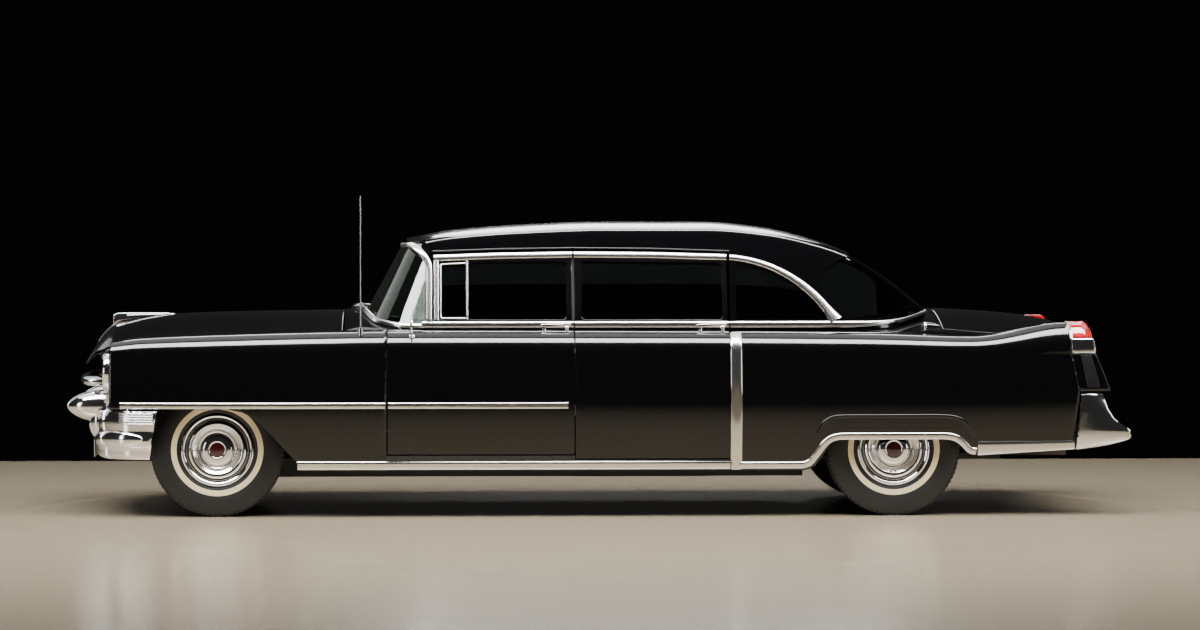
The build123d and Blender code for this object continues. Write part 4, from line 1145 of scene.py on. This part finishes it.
bumperParts = []
for side in (1, -1):
    u, y, z = pods["outlet"]
    outlet = [(r, u + out, key) for r, out, key in outletProfile]
    bumperParts += [podShell(side), revolved("outlet", outlet, (0, y * side, z), 1, 40, "x"),
                    bumperIron(side, *pods["iron"])]
grids = []
for inset in (0, pods["thick"]):
    grids.append([[place(lookup(pods["bar"], abs(y)) + off - inset, y, z) for off, z in barProfile]
                  for y in spread(-pods["barHalf"], pods["barHalf"], 20)])
bumperParts.append(bevelEdges(closedShell("rearBar", *grids, "chrome", sharp=50), 1.5))
finishPiece(joined("bumperRear", bumperParts), "body", "chrome", "bumper_rear")
print("bumpers done")

# Grille: eggcrate of thin bars, a surround, and the bowed upper bar
grille = {"low": 606, "high": 852, "half": 628, "bars": 9, "barDeep": (-626, -606), "barHigh": (618, 624),
          "uprights": 24, "uprightDeep": (-622, -608), "uprightHigh": (612, 846), "uprightFrom": 4,
          "uprightWide": 5, "barSpare": 24, "uprightSpare": 18, "backing": (-598, -594, -640, 640, 602, 856),
          "bowZ": 750, "bowHigh": 31, "bowDeep": 34, "bowThick": 8, "edgeFace": -636, "edgeBack": -600,
          "edgeBevel": 4,
          "edges": ((-640, 640, 600, 616), (-640, 640, 838, 858), (624, 641, 600, 858),
                    (-624, -641, 600, 858))}  # y from and to, z from and to
half, y = grille["half"], grille["uprightFrom"] - grille["half"]
level = boxPiece("level", *grille["barDeep"], -half, half, *grille["barHigh"], "chrome", 0)
upright = boxPiece("upright", *grille["uprightDeep"], y, y + grille["uprightWide"], *grille["uprightHigh"],
                   "chrome", 0)
for bar in (level, upright):
    bar.data.transform(Matrix.Translation(-place(0, 0, 0)))
gap = (grille["high"] - grille["low"] - grille["barSpare"]) / (grille["bars"] - 1) * mm
levels = copies("levels", "row", level, "chrome", grille["bars"], place(0, 0, 0), (0, 0, gap))
pitch = (2 * half - grille["uprightSpare"]) / (grille["uprights"] - 1) * mm
uprights = copies("uprights", "row", upright, "chrome", grille["uprights"], place(0, 0, 0), (0, pitch, 0))
surround = []
for edge in grille["edges"]:
    surround.append(boxPiece("edge", grille["edgeFace"], grille["edgeBack"], *edge, "chrome",
                             grille["edgeBevel"]))
# a matt black sheet behind the bars paints the shade behind the grille
backing = boxPiece("backing", *grille["backing"], "void", 0)
bowPath = [(-820, 0), (-815, 150), (-796, 300), (-760, 430), (-706, 540), (-640, 620), (-606, 645)]
bowProfile = [(-grille["bowDeep"] + grille["bowDeep"] * cos(a), grille["bowZ"] + grille["bowHigh"] * sin(a))
              for a in [pi * (-0.5 + k / 12) for k in range(13)]]
bow = sweptBand("bow", bowPath, bowProfile, "chrome", grille["bowThick"])
finishPiece(joined("grilleAssembly", [levels, uprights, *surround, backing, bow]), "body", "chrome", "grille")

# Headlamps: browed bezel, bowl and pressed glass
headlamps = {  # segments, then rows of radius and offset
    "bezel": (72, banded("chrome", (112, -601), (115, -616), (113, -632), (106, -641), (97, -643), (90, -637),
                         (88, -624), (90, -601))),
    "bowl": (48, banded("chrome", (0, -603), (50, -606), (80, -616), (88, -624), (89, -601), (0, -601))),
    "glass": (48, banded("lampGlass", (0, -646), (40, -644), (70, -640), (89, -632), (88, -627), (70, -634),
                         (40, -638), (0, -640)))}
lampY, lampZ = 762, 808
lampParts = [revolved(part, profile, (0, lampY * side, lampZ), 1, segments, "x")
             for side in (1, -1) for part, (segments, profile) in headlamps.items()]
finishPiece(joined("headlampPair", lampParts), "body", "lamp_glass", "headlamps")

# Tail lamps: a chrome housing over the fin's end and a red lens on it
tailLamps = {
    "housing": {"low": 917, "high": 1000, "rear": [(917, 4942), (940, 4944), (1000, 4932)], "proud": 1,
                "finish": "chrome"},
    "lens": {"low": 1004, "high": 1096, "rear": [(1004, 4927), (1050, 4918), (1082, 4900), (1096, 4882)],
             "proud": 0, "finish": "redLens"},
    "front": [(916, 4810), (1000, 4803), (1096, 4789)],  # height, u
    "widest": 972, "turnIn": 26, "turnFrom": 0.55, "deep": 60, "highest": 1094, "sideTop": 1080,
    "post": [(4806, 1000), (4801, 1040), (4795, 1086)]}


def lampSkin(lamp, side, inset):
    # one skin of a lamp: it continues the fin's side and turns in at the rear
    inward, rows = max(inset, 0), []
    for share in [i / 10 for i in range(11)]:
        row, turn = [], max(0.0, (share - tailLamps["turnFrom"]) / (1 - tailLamps["turnFrom"]))
        for z in spread(lamp["low"], lamp["high"], 8):
            front = lookup(tailLamps["front"], z)
            u = front + (lookup(lamp["rear"], z) - front) * share
            y = min(sideY(u, min(z, tailLamps["sideTop"]), inward), tailLamps["widest"])
            y -= 0 if inset else tailLamps["turnIn"] * turn * turn
            crest = sideSection(u, inward)[-2]
            if z > crest[1]:
                y = crest[0]
            row.append(place(u, (y if inset <= 0 else y - inset) * side, min(z, tailLamps["highest"])))
        rows.append(row)
    return rows


lampParts = []
for side in (1, -1):
    for part in ("housing", "lens"):
        lamp = tailLamps[part]
        skins = [lampSkin(lamp, side, inset) for inset in (-lamp["proud"], tailLamps["deep"])]
        lampParts.append(bevelEdges(closedShell(part, *skins, lamp["finish"]), 3))
    lampParts.append(sideStrip("lampPost", tailLamps["post"], side, 16, 7, "chrome"))
finishPiece(joined("tailLampPair", lampParts), "body", "red_lens", "tail_lamps")
print("grille and lamps done")

# Bright trim along the sides: paths are (u, z), and a size is width and height
trim = {
    "spear": {"z": 629, "width": 36, "height": 9, "from": -537, "to": 1965, "apart": (7, 4)},
    "belt": {"z": 1078, "width": 38, "height": 9, "narrowing": 16},
    "rail": {"width": 38, "height": 8}, "gutter": {"width": 9, "height": 8},
    "sweep": {"width": 36, "middle": 22, "foot": 30, "height": 9},
    "insert": {"ribs": 7, "top": (4862, 905), "foot": (4898, 724), "pitch": (9, 11), "size": (7, 6)},
    # each post: name, u, z from and to, width
    "posts": (("leadPost", 1229, 1104, 1436, 30), ("ventBar", 1402, 1106, 1434, 15)),
    "postHeight": 7, "lipSize": (20, 5), "ventSize": (9, 7), "screenPostSize": (37, 9),
}
fixedStrips = {  # path, width, height, step
    "rockerStrip": ([(452, 292), (2876, 292)], 50, 9, 25),
    "archBand": (rounded([(2885, 290), (3290, 290), (3325, 304), (3362, 352), (3402, 408), (3440, 441),
                          (3490, 453), (4090, 453), (4140, 446), (4185, 418), (4226, 372), (4262, 364)],
                         60, 6), 40, 9, 12),
    "tailBar": ([(4272, 383), (4822, 400)], [80, 50], 8, 25),
    "scoopStrip": ([(2910, 268), (2910, 1030)], 62, 9, 25),
}
archLip = rounded([(3366, 468), (3398, 532), (3450, 562), (3510, 566), (4080, 566), (4160, 556), (4215, 520),
                   (4252, 452)], 60, 6)
lapProfile = [(-0.5, 0.15), (-0.46, 0.6), (-0.3, 0.9), (0, 1), (0.3, 0.9), (0.46, 0.6), (0.5, 0.15)]
beltFoot = [(3560, 1078), (3690, 1081), (3790, 1087), (3870, 1098), (3940, 1114), (3990, 1128), (4034, 1141)]
gutter = [(1206, 1488), (1600, 1502), (2004, 1508), (2450, 1504), (2888, 1490)]
sweep = arcThrough((2890, 1455), (3222, 1352), (3482, 1098), 30)
screenPost = rounded([(1187, 1092), (1188, 1408), (1170, 1452), (1138, 1490), (1098, 1520), (1076, 1530)],
                     40, 6)
ventRing = rounded([(1393, 1421), (1253, 1415), (1253, 1113), (1393, 1113)], 16, 5)
handles = {"front": (1811, 1985), "rear": (2690, 2862), "inner": 881, "outer": 903, "bevel": 4,
           "stand": (884, 900, 1036, 1074), "standWide": 20, "standsAt": (12, -34),
           "button": (-24, 897, 1060)}
mirrors = {"head": (950, 1072), "foot": [(1078, 1012), (1092, 1012), (1106, 1012)], "footSize": (22, 14),
           "stem": (1086, 1096, 932, 942, 1008, 1050)}
mirrorHead = [*banded("chrome", (0, 1078), (40, 1080), (56, 1086), (58, 1090), (56, 1094)),
              *banded("lampGlass", (50, 1094), (0, 1093))]
button = banded("chrome", (0, 12), (8, 11), (11, 8), (11, -12), (0, -12))


def cabinStrip(name, path, side, width, height, **more):
    return sideStrip(name, path, side, width, height, surface=cabinY, **more)


for label, side in sides.items():
    spear, doorFront = trim["spear"], body["doorFront"]
    for key, rides, u0, u1 in (
            ("fender", "body", spear["from"], doorFront - body["gap"] - spear["apart"][0]),
            ("door", f"door_front_{label}", doorFront + body["gap"] + spear["apart"][1], spear["to"])):
        piece = sideStrip(f"spear_{key}_{label}", [(u, spear["z"]) for u in spread(u0, u1, 40)], side,
                          spear["width"], spear["height"])
        finishPiece(piece, rides, "chrome")
    for stripName, (path, width, height, step) in fixedStrips.items():
        finishPiece(sideStrip(f"{stripName}_{label}", path, side, width, height, step=step), "body", "chrome")
    lip = sideStrip(f"archLip_{label}", archLip, side, *trim["lipSize"], "enamel", step=12)
    finishPiece(lip, "body", "body_paint")
    # upright ribs under the tail lamp
    insert, ribs = trim["insert"], []
    for k in range(insert["ribs"]):
        (u0, z0), (u1, z1), (step0, step1) = insert["top"], insert["foot"], insert["pitch"]
        path = [(u0 + k * step0, z0), (u1 + k * step1, z1)]
        ribs.append(sideStrip("insert", path, side, *insert["size"], "darkBand"))
    finishPiece(joined(f"tailInsert_{label}", ribs), "body", "body_paint")


middle, doorEnd, gap = body["doorMiddle"], body["doorRear"], body["gap"]
for label, side in sides.items():
    front, rear, belt = f"door_front_{label}", f"door_rear_{label}", trim["belt"]
    for key, rides, u0, u1 in (
            ("lead", "body", 1150, 1205), ("front", front, 1209, middle - gap),
            ("rear", rear, middle + gap, doorEnd - gap), ("quarter", "body", doorEnd + gap, beltFoot[0][0])):
        path = [(u, belt["z"]) for u in spread(u0, u1, 40)]
        wide = [belt["width"]] * len(path)
        if key == "quarter":
            # it runs on round the foot of the back window and narrows
            foot = resample(beltFoot, 40)
            wide += [belt["width"] - belt["narrowing"] * min(1, i / 24) for i in range(1, len(foot))]
            path += foot[1:]
        finishPiece(cabinStrip(f"beltStrip_{key}_{label}", path, side, wide, belt["height"]), rides, "chrome")
    # bright rail over the windows: on each door, lapping the gutter, and a slim painted gutter above it
    for key, rides, path in (("front", front, [(1216, 1452), (1600, 1465), (1996, 1471)]),
                             ("rear", rear, [(middle + gap, 1471), (2450, 1468), (2870, 1456)])):
        rail = cabinStrip(f"topRail_{key}_{label}", path, side, trim["rail"]["width"], trim["rail"]["height"],
                          profile=lapProfile)
        finishPiece(rail, rides, "chrome")
    piece = cabinStrip(f"gutter_{label}", gutter, side, trim["gutter"]["width"], trim["gutter"]["height"],
                       material="enamel")
    finishPiece(piece, "body", "body_paint")
    # the sweep round the quarter window widens down to the belt
    wide = [trim["sweep"]["width"] + trim["sweep"]["middle"] * (i / 30) ** 2
            + (trim["sweep"]["foot"] * max(0, (i - 26) / 4) ** 2) for i in range(31)]
    piece = cabinStrip(f"quarterSweep_{label}", sweep, side, wide, trim["sweep"]["height"], step=1000)
    finishPiece(piece, "body", "chrome")
    # upright frame pieces: door lead post, vent pane's divider and ring
    for key, u, z0, z1, width in trim["posts"]:
        post = cabinStrip(f"{key}_{label}", [(u, z0), (u, z1)], side, width, trim["postHeight"])
        finishPiece(post, front, "chrome")
    vent = cabinStrip("ventRing", ventRing, side, *trim["ventSize"], step=12)
    finishPiece(joined(f"ventRing_{label}", [vent]), front, "chrome")
    post = cabinStrip(f"screenPost_{label}", screenPost, side, *trim["screenPostSize"], step=10)
    finishPiece(post, "body", "chrome")
    # door handles on the shoulder, each with a push button
    for key, rides in (("front", front), ("rear", rear)):
        u0, u1 = handles[key]
        grip = rounded([(u0, 1072), (u0 + 6, 1082), (u1 - 4, 1088), (u1, 1078), (u1 - 4, 1063),
                        (u0 + 8, 1065), (u0, 1072)], 5, 3)[:-1]
        edge = handles["bevel"]
        pieces = [prism("grip", grip, handles["inner"] * side, handles["outer"] * side, "chrome", edge)]
        y0, y1, z0, z1 = handles["stand"]
        for u in (u0 + handles["standsAt"][0], u1 + handles["standsAt"][1]):
            end = u + handles["standWide"]
            pieces.append(boxPiece("stand", u, end, y0 * side, y1 * side, z0, z1, "chrome", edge))
        u, y, z = handles["button"]
        pieces.append(revolved("button", button, (u1 + u, y * side, z), side, 24))
        finishPiece(joined(f"doorHandle_{key}_{label}", pieces), rides, "chrome")
    # outside mirror on the door's corner
    disc = revolved("mirrorHead", mirrorHead, (0, mirrors["head"][0] * side, mirrors["head"][1]), 1, 40, "x")
    foot = sideStrip("mirrorFoot", mirrors["foot"], side, *mirrors["footSize"], "chrome", step=7)
    u0, u1, y0, y1, z0, z1 = mirrors["stem"]
    stem = boxPiece("mirrorStem", u0, u1, y0 * side, y1 * side, z0, z1, "chrome", 2)
    finishPiece(joined(f"doorMirror_{label}", [disc, foot, stem]), front, "chrome", f"mirror_{label}")
print("trim done")

# Windshield surround, wipers and hood ornament
screenTrim = {"foot": 1092, "footHalf": 838, "footUp": 14, "header": 1520, "headerHalf": 650, "wiperU": 758,
              "wiperY": 120, "pivot": (760, 118)}
cowlRows = [(710, 700, 1036, 1149), (800, 800, 1044, 1158), (960, 830, 1052, 1146), (1168, 830, 1055, 1112)]
pivotProfile = banded("chrome", (0, 24), (14, 22), (18, 14), (18, 0), (0, 0))


def curveStrip(name, points, width, height):
    # a moulding that follows the windshield's face
    centres, normals = [], []
    for i, (u, y, z) in enumerate(points):
        a, b = points[max(i - 1, 0)], points[min(i + 1, len(points) - 1)]
        along = Vector((b[0] - a[0], b[1] - a[1], 0)).normalized()
        out = Vector((-along.y, along.x, 0))
        if out.dot(Vector((-1, y / 400, 0))) < 0:
            out = -out
        centres.append(place(u, y, z))
        normals.append((out + Vector((0, 0, 0.3))).normalized())
    return strip(name, centres, normals, width, height)


def cowlZ(u, y):
    edgeY, edgeZ, crown = smooth(cowlRows, u)
    return lookup(arcThrough((-edgeY, edgeZ), (0, crown), (edgeY, edgeZ), 40), y)


low = [(u - 6, y, cowlZ(u, y) + screenTrim["footUp"]) for u, y in screenOutline(screenTrim["foot"], -2)
       if abs(y) < screenTrim["footHalf"]]
header = [(u, y, screenTrim["header"]) for u, y in screenOutline(screenTrim["header"], -3)
          if abs(y) < screenTrim["headerHalf"]]
surround = [curveStrip("baseStrip", low, 30, 12), curveStrip("headerStrip", header, 22, 7)]
for side in (1, -1):
    u, y = screenTrim["wiperU"], screenTrim["wiperY"] * side
    arm = [(u, y, cowlZ(u, y) + 16), (800, 260 * side, 1172), (842, 420 * side, 1168)]
    surround.append(strip("wiperArm", [place(*p) for p in arm], [Vector((0, 0, 1))] * 3, 9, 5, "chrome"))
    u, y = screenTrim["pivot"][0], screenTrim["pivot"][1] * side
    surround.append(revolved("wiperPivot", pivotProfile, (u, y, cowlZ(u, y) + 8), 1, 24))
finishPiece(joined("windshieldSurround", surround), "body", "chrome")

ornament = {"half": 11, "outline": [(-638, 1046), (-600, 1072), (-440, 1096), (-268, 1113), (-266, 1121),
                                    (-330, 1128), (-560, 1129), (-620, 1126), (-637, 1113)],
            "wing": [(-560, 1112), (-330, 1117), (-330, 1123), (-560, 1118)], "wingFrom": 10, "wingTo": 34}
pieces = [prism("ornamentBar", ornament["outline"], -ornament["half"], ornament["half"], "chrome", 5)]
for side in (1, -1):
    pieces.append(prism("ornamentWing", ornament["wing"], ornament["wingFrom"] * side,
                        ornament["wingTo"] * side, "chrome", 2))
nose = [(u, smooth(body["hood"], u)[2]) for u in spread(-747, -606, 8)]
normals = []
for i in range(len(nose)):
    (u0, z0), (u1, z1) = nose[max(i - 1, 0)], nose[min(i + 1, len(nose) - 1)]
    normals.append(Vector((z0 - z1, 0, u1 - u0)).normalized())
pieces.append(strip("noseStrip", [place(u, 0, z) for u, z in nose], normals, 14, 7, "chrome"))
finishPiece(joined("hoodOrnament", pieces), "hood", "chrome")

# Blank plates, each held by two screws
plates = {"half": 152, "screwY": 89, "screwDown": 20,
          "at": ((300, 428, -741, -737, -1), (556, 684, 4928, 4932, 1))}  # low, high, from, to, facing
plateParts = []
for low, high, u0, u1, way in plates["at"]:
    plateParts.append(boxPiece("blank", u0, u1, -plates["half"], plates["half"], low, high, "plate", 1))
    face = u0 if way < 0 else u1
    screw = banded("chrome", (0, face + 3 * way), (6, face + 2 * way), (7, face), (0, face))
    for y in (-plates["screwY"], plates["screwY"]):
        plateParts.append(revolved("screw", screw, (0, y, high - plates["screwDown"]), 1, 16, "x"))
finishPiece(joined("blankPlates", plateParts), "body", "plate_blank", "licence_plates")

# Air scoops beside the back window: place along the car, half sizes, finish, skew
scoops = {"y": 792, "z": 1062, "shell": (4030, (62, 26, 25), "enamel", 0.25),
          "lip": (3994, (16, 27, 27), "chrome", 0.0), "mouth": (3984, (12, 21, 21), "void", 0.0)}
# each scoop's mouth is a matt black egg: painted shade inside the opening
for label, side in sides.items():
    pieces = [egg(part, (scoops[part][0], scoops["y"] * side, scoops["z"]), *scoops[part][1:])
              for part in ("shell", "lip", "mouth")]
    finishPiece(joined(f"rearScoop_{label}", pieces), "body", "body_paint")

# Steering wheel: rim and boss turned about an axis that leans back, and two spokes
steering = {"angle": 28, "y": -380, "u": 1300, "z": 920, "rim": 205, "tube": 12,
            "spokes": ((20, -14), (90, -10), (150, -6), (200, 0)), "spokeWidths": [34, 26, 20, 16],
            "boss": ((0, 8), (22, 6), (32, -2), (34, -36), (0, -38))}
hub = place(steering["u"], steering["y"], steering["z"])
axis = Vector((cos(radians(steering["angle"])), 0, sin(radians(steering["angle"]))))
across = Vector((0, 1, 0))
up = axis.cross(across).normalized()
rimRing = [(steering["rim"] + steering["tube"] * cos(a), steering["tube"] * sin(a))
           for a in [2 * pi * k / 14 for k in range(14)]]


def turned(name, ring, steps, closed, sharp):
    # ring: radius and rise along the wheel's axis
    verts = []
    for i in range(steps):
        a = 2 * pi * i / steps
        out = across * cos(a) + up * sin(a)
        verts += [hub + (out * r + axis * lift) * mm for r, lift in ring]
    faces = ringFaces(steps, len(ring), closed, True)
    return meshPiece(name, verts, faces, "wheelRim", sharp=sharp, recalc=True)


pieces = [turned("rim", rimRing, 72, True, 80)]
for sign in (1, -1):
    centres = [hub + across * sign * d * mm + axis * lift * mm for d, lift in steering["spokes"]]
    pieces.append(strip("spoke", centres, [axis] * 4, steering["spokeWidths"], 7, "wheelRim"))
pieces.append(turned("boss", steering["boss"], 40, False, 32))
finishPiece(joined("steeringWheelRim", pieces), "steering_wheel", "wheel_plastic", "steering_wheel")

# Finishes of the pieces that keep their own solids
kept = {
    "chassis": ["chassis_frame", "front_suspension", "knuckle_left", "knuckle_right", "rear_axle",
                "floor_pan"],
    "casting": ["engine", "driveline"], "pipe": ["exhaust"], "leather": ["partition"], "dash": ["dashboard"],
    "enamel": ["cowl", "rear_deck"], "chrome": ["antenna"], "screenGlass": ["windshield"],
    # the door glass also takes the near-black tint that paints the cabin's shade
    "sideGlass": ["door_front_glass_left", "door_front_glass_right", "door_rear_glass_left",
                  "door_rear_glass_right"],
}
for key, names in kept.items():
    for nodeName in names:
        for materialSlot in frame["nodes"][nodeName].material_slots:
            materialSlot.material = materials[key]
print("kept solids finished")

# Bench seats: pads swollen by a cloth simulation, then sewn channels
seats = {  # seat front, seat rear, back's front face, cushion top, back top
    "front": {"node": "front_seat", "from": 1440, "to": 1960, "back": 1832, "cushion": 560, "top": 900},
    "rear": {"node": "rear_seat", "from": 2640, "to": 3200, "back": 3034, "cushion": 580, "top": 1000},
}
pads = {"half": 716, "thick": 150, "overlap": 20, "shrink": 15, "edge": 34, "voxel": 0.018, "cap": 0.026,
        "pressure": 4.0, "frames": 20, "pitch": 118, "channel": 9, "soft": 15, "lean": 26, "fill": 0.8}


def padStart(name, box):
    # the pad before it swells, a little smaller than its place and evenly meshed
    u0, u1, y0, y1, z0, z1 = box
    cut = pads["shrink"]
    obj = boxPiece(name, u0 + cut, u1 - cut, y0 + cut, y1 - cut, z0 + cut / 2, z1 - cut, "cloth",
                   pads["edge"])
    flatten(obj)
    remesh = obj.modifiers.new("voxels", "REMESH")
    remesh.mode = "VOXEL"
    remesh.voxel_size = pads["voxel"]
    return flatten(obj)


def swell(objs):
    # all pads swell together, frame by frame; then no point has moved further than the cap
    starts = [[v.co.copy() for v in obj.data.vertices] for obj in objs]
    for obj in objs:
        cloth = obj.modifiers.new("swell", "CLOTH")
        cloth.settings.use_pressure = True
        cloth.settings.uniform_pressure_force = pads["pressure"]
        cloth.settings.effector_weights.gravity = 0
        cloth.settings.quality = 4
    for frameNumber in range(1, pads["frames"] + 1):
        bpy.context.scene.frame_set(frameNumber)
    for obj, start in zip(objs, starts):
        flatten(obj)
        for vertex, was in zip(obj.data.vertices, start):
            moved = vertex.co - was
            if moved.length > pads["cap"]:
                vertex.co = was + moved.normalized() * pads["cap"]
    bpy.context.scene.frame_set(1)


padBoxes, padObjects, half = {}, {}, pads["half"]
for seatName, seat in seats.items():
    lean, overlap = pads["lean"], pads["overlap"]
    padBoxes[f"{seatName}SeatCushion"] = (seat["from"], seat["back"] + overlap, -half, half,
                                          seat["cushion"] - pads["thick"], seat["cushion"])
    padBoxes[f"{seatName}SeatBack"] = (seat["back"] - lean, seat["to"] - lean, -half, half,
                                       seat["cushion"] - overlap, seat["top"])
for name, box in padBoxes.items():
    padObjects[name] = padStart(name, box)
swell(list(padObjects.values()))
for name, obj in padObjects.items():
    u0, u1, y0, y1, z0, z1 = padBoxes[name]
    finer = obj.modifiers.new("finer", "SUBSURF")
    finer.levels = finer.render_levels = 1
    flatten(obj)
    low, high = place(u0, y0, z0), place(u1, y1, z1)
    middle = (low + high) / 2
    for vertex in obj.data.vertices:
        for k in range(3):
            vertex.co[k] = max(low[k], min(high[k], vertex.co[k]))
        # sewn channels run along the cushion and up the back, which leans
        away = (vertex.co.y / mm + pads["pitch"] / 2) % pads["pitch"] - pads["pitch"] / 2
        dip = pads["channel"] * mm * 2.718 ** (-(away / pads["soft"]) ** 2)
        if name.endswith("Cushion"):
            if vertex.co.z > middle.z:
                vertex.co.z -= dip
        else:
            if vertex.co.x < middle.x:
                vertex.co.x += dip
            vertex.co.x += (vertex.co.z - low.z) / (high.z - low.z) * pads["lean"] * mm
    for polygon in obj.data.polygons:
        polygon.use_smooth = True
for seatName, seat in seats.items():
    low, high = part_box(seat["node"])
    base = boxPiece("seatBase", seat["from"] + 20, seat["to"] - 30, -half + 14, half - 14, low.z / mm,
                    seat["cushion"] - pads["thick"] + 14, "leather", 10)
    foot, head = seat["cushion"] - 140, seat["top"] - 30
    shell = prism("seatShell", [(seat["back"] + 70, foot), (seat["to"] - 16, foot), (seat["to"] - 2, head),
                                (seat["back"] + 100, head)], -half + 10, half - 10, "leather", 12)
    base = joined(f"{seatName}SeatBase", [base, shell])
    cushion, back = padObjects[f"{seatName}SeatCushion"], padObjects[f"{seatName}SeatBack"]
    for piece in (base, cushion, back):
        finishPiece(piece, "body", "seat_cloth", seat["node"])
print("seats done")

# Headlining, dashboard fittings and the inside mirror
lining = {"insets": (39, 43), "edge": 1486, "stations": (1250, 3340, 30)}
grids = [[bothHalves(u, resample(clip(cabinSection(u, inset), 1, lining["edge"], 1), 18))
          for u in spread(*lining["stations"])] for inset in lining["insets"]]
finishPiece(closedShell("headlining", *grids, "headliner"), "body", "trim_panel")
low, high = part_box("dashboard")
face, middle, top = high.x / mm - frontAxle, (low.z + high.z) / 2 / mm, high.z / mm
dials = {"y": (-470, -380, -290), "radius": 38, "needle": 26, "knobs": (-120, -60, 0, 60, 120), "bars": 7}
dialZ, r = (middle + top) / 2, dials["radius"]
dialProfile = [(0, face + 4, "dash"), *banded("chrome", (r - 5, face + 4), (r - 4, face + 9), (r, face + 8),
                                              (r, face), (0, face))]
knobProfile = banded("chrome", (0, face + 20), (7, face + 19), (9, face + 15), (8, face), (0, face))
fittings = [boxPiece("binnacle", face - 8, face + 3, -540, -220, middle - 8, top - 6, "chrome", 3)]
for y in dials["y"]:
    fittings.append(revolved("dial", dialProfile, (0, y, dialZ), 1, 40, "x"))
    fittings.append(boxPiece("needle", face + 4, face + 6, y - 1, y + 1, dialZ, dialZ + dials["needle"],
                             "whiteband", 0))
for y in dials["knobs"]:
    fittings.append(revolved("knob", knobProfile, (0, y, middle - 20), 1, 20, "x"))
for k in range(dials["bars"]):
    z = middle + 10 + k * 8
    fittings.append(boxPiece("grilleBar", face - 2, face + 4, -70, 70, z, z + 3, "chrome", 0))
fittings.append(boxPiece("gloveTrim", face - 2, face + 4, 220, 600, middle + 28, middle + 34, "chrome", 1))
finishPiece(joined("dashFittings", fittings), "body", "dash_paint")
mirror = [boxPiece("glass", 1180, 1192, -100, 100, 1444, 1490, "chrome", 5),
          boxPiece("stem", 1160, 1186, -5, 5, 1480, 1524, "chrome", 2)]
finishPiece(joined("insideMirror", mirror), "body", "chrome")
print("interior done")

# Stage: floor, camera and soft lights, in metres
stage = {"half": 16, "back": 4.75, "drop": 0.001, "colour": "#A3967F", "gloss": 0.19, "room": "#2B2A29",
         "backdrop": "#070606"}
corners = [Vector((x, y, -stage["drop"])) for x, y in (
    (-stage["half"], -stage["half"]), (stage["half"], -stage["half"]), (stage["half"], stage["back"]),
    (-stage["half"], stage["back"]))]
floor = meshPiece("studioFloor", corners, [(0, 1, 2, 3)], "plate")
floor.data.materials[0] = newMaterial("studio floor, sealed concrete", Base_Color=linear(stage["colour"]),
                                      Roughness=stage["gloss"])[0]

viewPoint = {"at": (-1.0235, -24.999, 1.683), "yaw": 0.0425, "pitch": -0.0228, "lens": 128.85, "sensor": 36,
             "far": 200}
cameraData = bpy.data.cameras.new("camera")
cameraData.lens = viewPoint["lens"]
cameraData.sensor_width = viewPoint["sensor"]
cameraData.clip_end = viewPoint["far"]
camera = newObject("camera", cameraData)
yaw, pitch = viewPoint["yaw"], viewPoint["pitch"]
ahead = Vector((sin(yaw) * cos(pitch), cos(yaw) * cos(pitch), sin(pitch)))
bpy.context.scene.camera = camera

world = bpy.data.worlds.new("studio")
bpy.context.scene.world = world
world.use_nodes = True
studio = world.node_tree
rays = addNode(studio, "ShaderNodeLightPath")
wall = addNode(studio, "ShaderNodeMix", {"data_type": "RGBA"},
               links={"Factor": rays.outputs["Is Camera Ray"]})
wall.inputs["A"].default_value = linear(stage["room"])
wall.inputs["B"].default_value = linear(stage["backdrop"])
studio.links.new(wall.outputs["Result"], studio.nodes["Background"].inputs["Color"])


def aim(obj, at, direction):
    obj.location = at
    obj.rotation_mode = "QUATERNION"
    obj.rotation_quaternion = direction.to_track_quat("-Z", "Y")


aim(camera, viewPoint["at"], ahead)


def softLight(name, at, toward, size, power):
    data = bpy.data.lights.new(name, "AREA")
    data.shape = "RECTANGLE"
    data.size, data.size_y = size
    data.energy = power
    lamp = newObject(name, data)
    aim(lamp, at, Vector(toward) - Vector(at))
    return lamp


softLight("overhead softbox", (0, -3.2, 6.6), (0, 0.4, 0), (15, 5), 2900).visible_glossy = False
# the roof's side stays out of the light of the two panels meant for the body's shoulder
shaded = bpy.data.collections.new("out of the shoulder's light")
for obj in bpy.context.scene.objects:
    if obj.name.startswith(("roofPanel", "backPane")):
        shaded.objects.link(obj)
for entry in shaded.collection_objects:
    entry.light_linking.link_state = "EXCLUDE"
reflected = (  # panels seen only in the enamel, chrome and glass: place, aim, size, watts, kept off the roof
    ("shoulder strip", (0, -2.9, 6.2), (0, -1, 1), (14, 2.2), 3900, True),
    ("ceiling panel", (0, 1.1, 6.5), (0, 1.1, 0), (15, 4.2), 420, True),
    ("hood strip", (0, 3.2, 6.5), (0, 0, 1), (9, 0.5), 300, False),
    ("roof panel", (0.66, 6.25, 5.1), (0.66, 0, 1.6), (3.7, 4.9), 330, False),
    ("windshield panel", (-8.2, 6.0, 4.6), (-1.1, -0.6, 1.3), (7.5, 6), 120, False),
    ("nose left", (-10, -6, 2.4), (-2, 0, 0.8), (1.2, 4), 110, False),
    ("tail left", (10, -6, 2.4), (2, 0, 0.8), (1.2, 4), 110, False),
    ("nose right", (-10, 6, 2.4), (-2, 0, 0.8), (1.2, 4), 110, False),
    ("tail right", (10, 6, 2.4), (2, 0, 0.8), (1.2, 4), 110, False))
for name, at, toward, size, power, flagged in reflected:
    lamp = softLight(name, at, toward, size, power)
    lamp.visible_diffuse = False
    if flagged:
        lamp.light_linking.receiver_collection = shaded
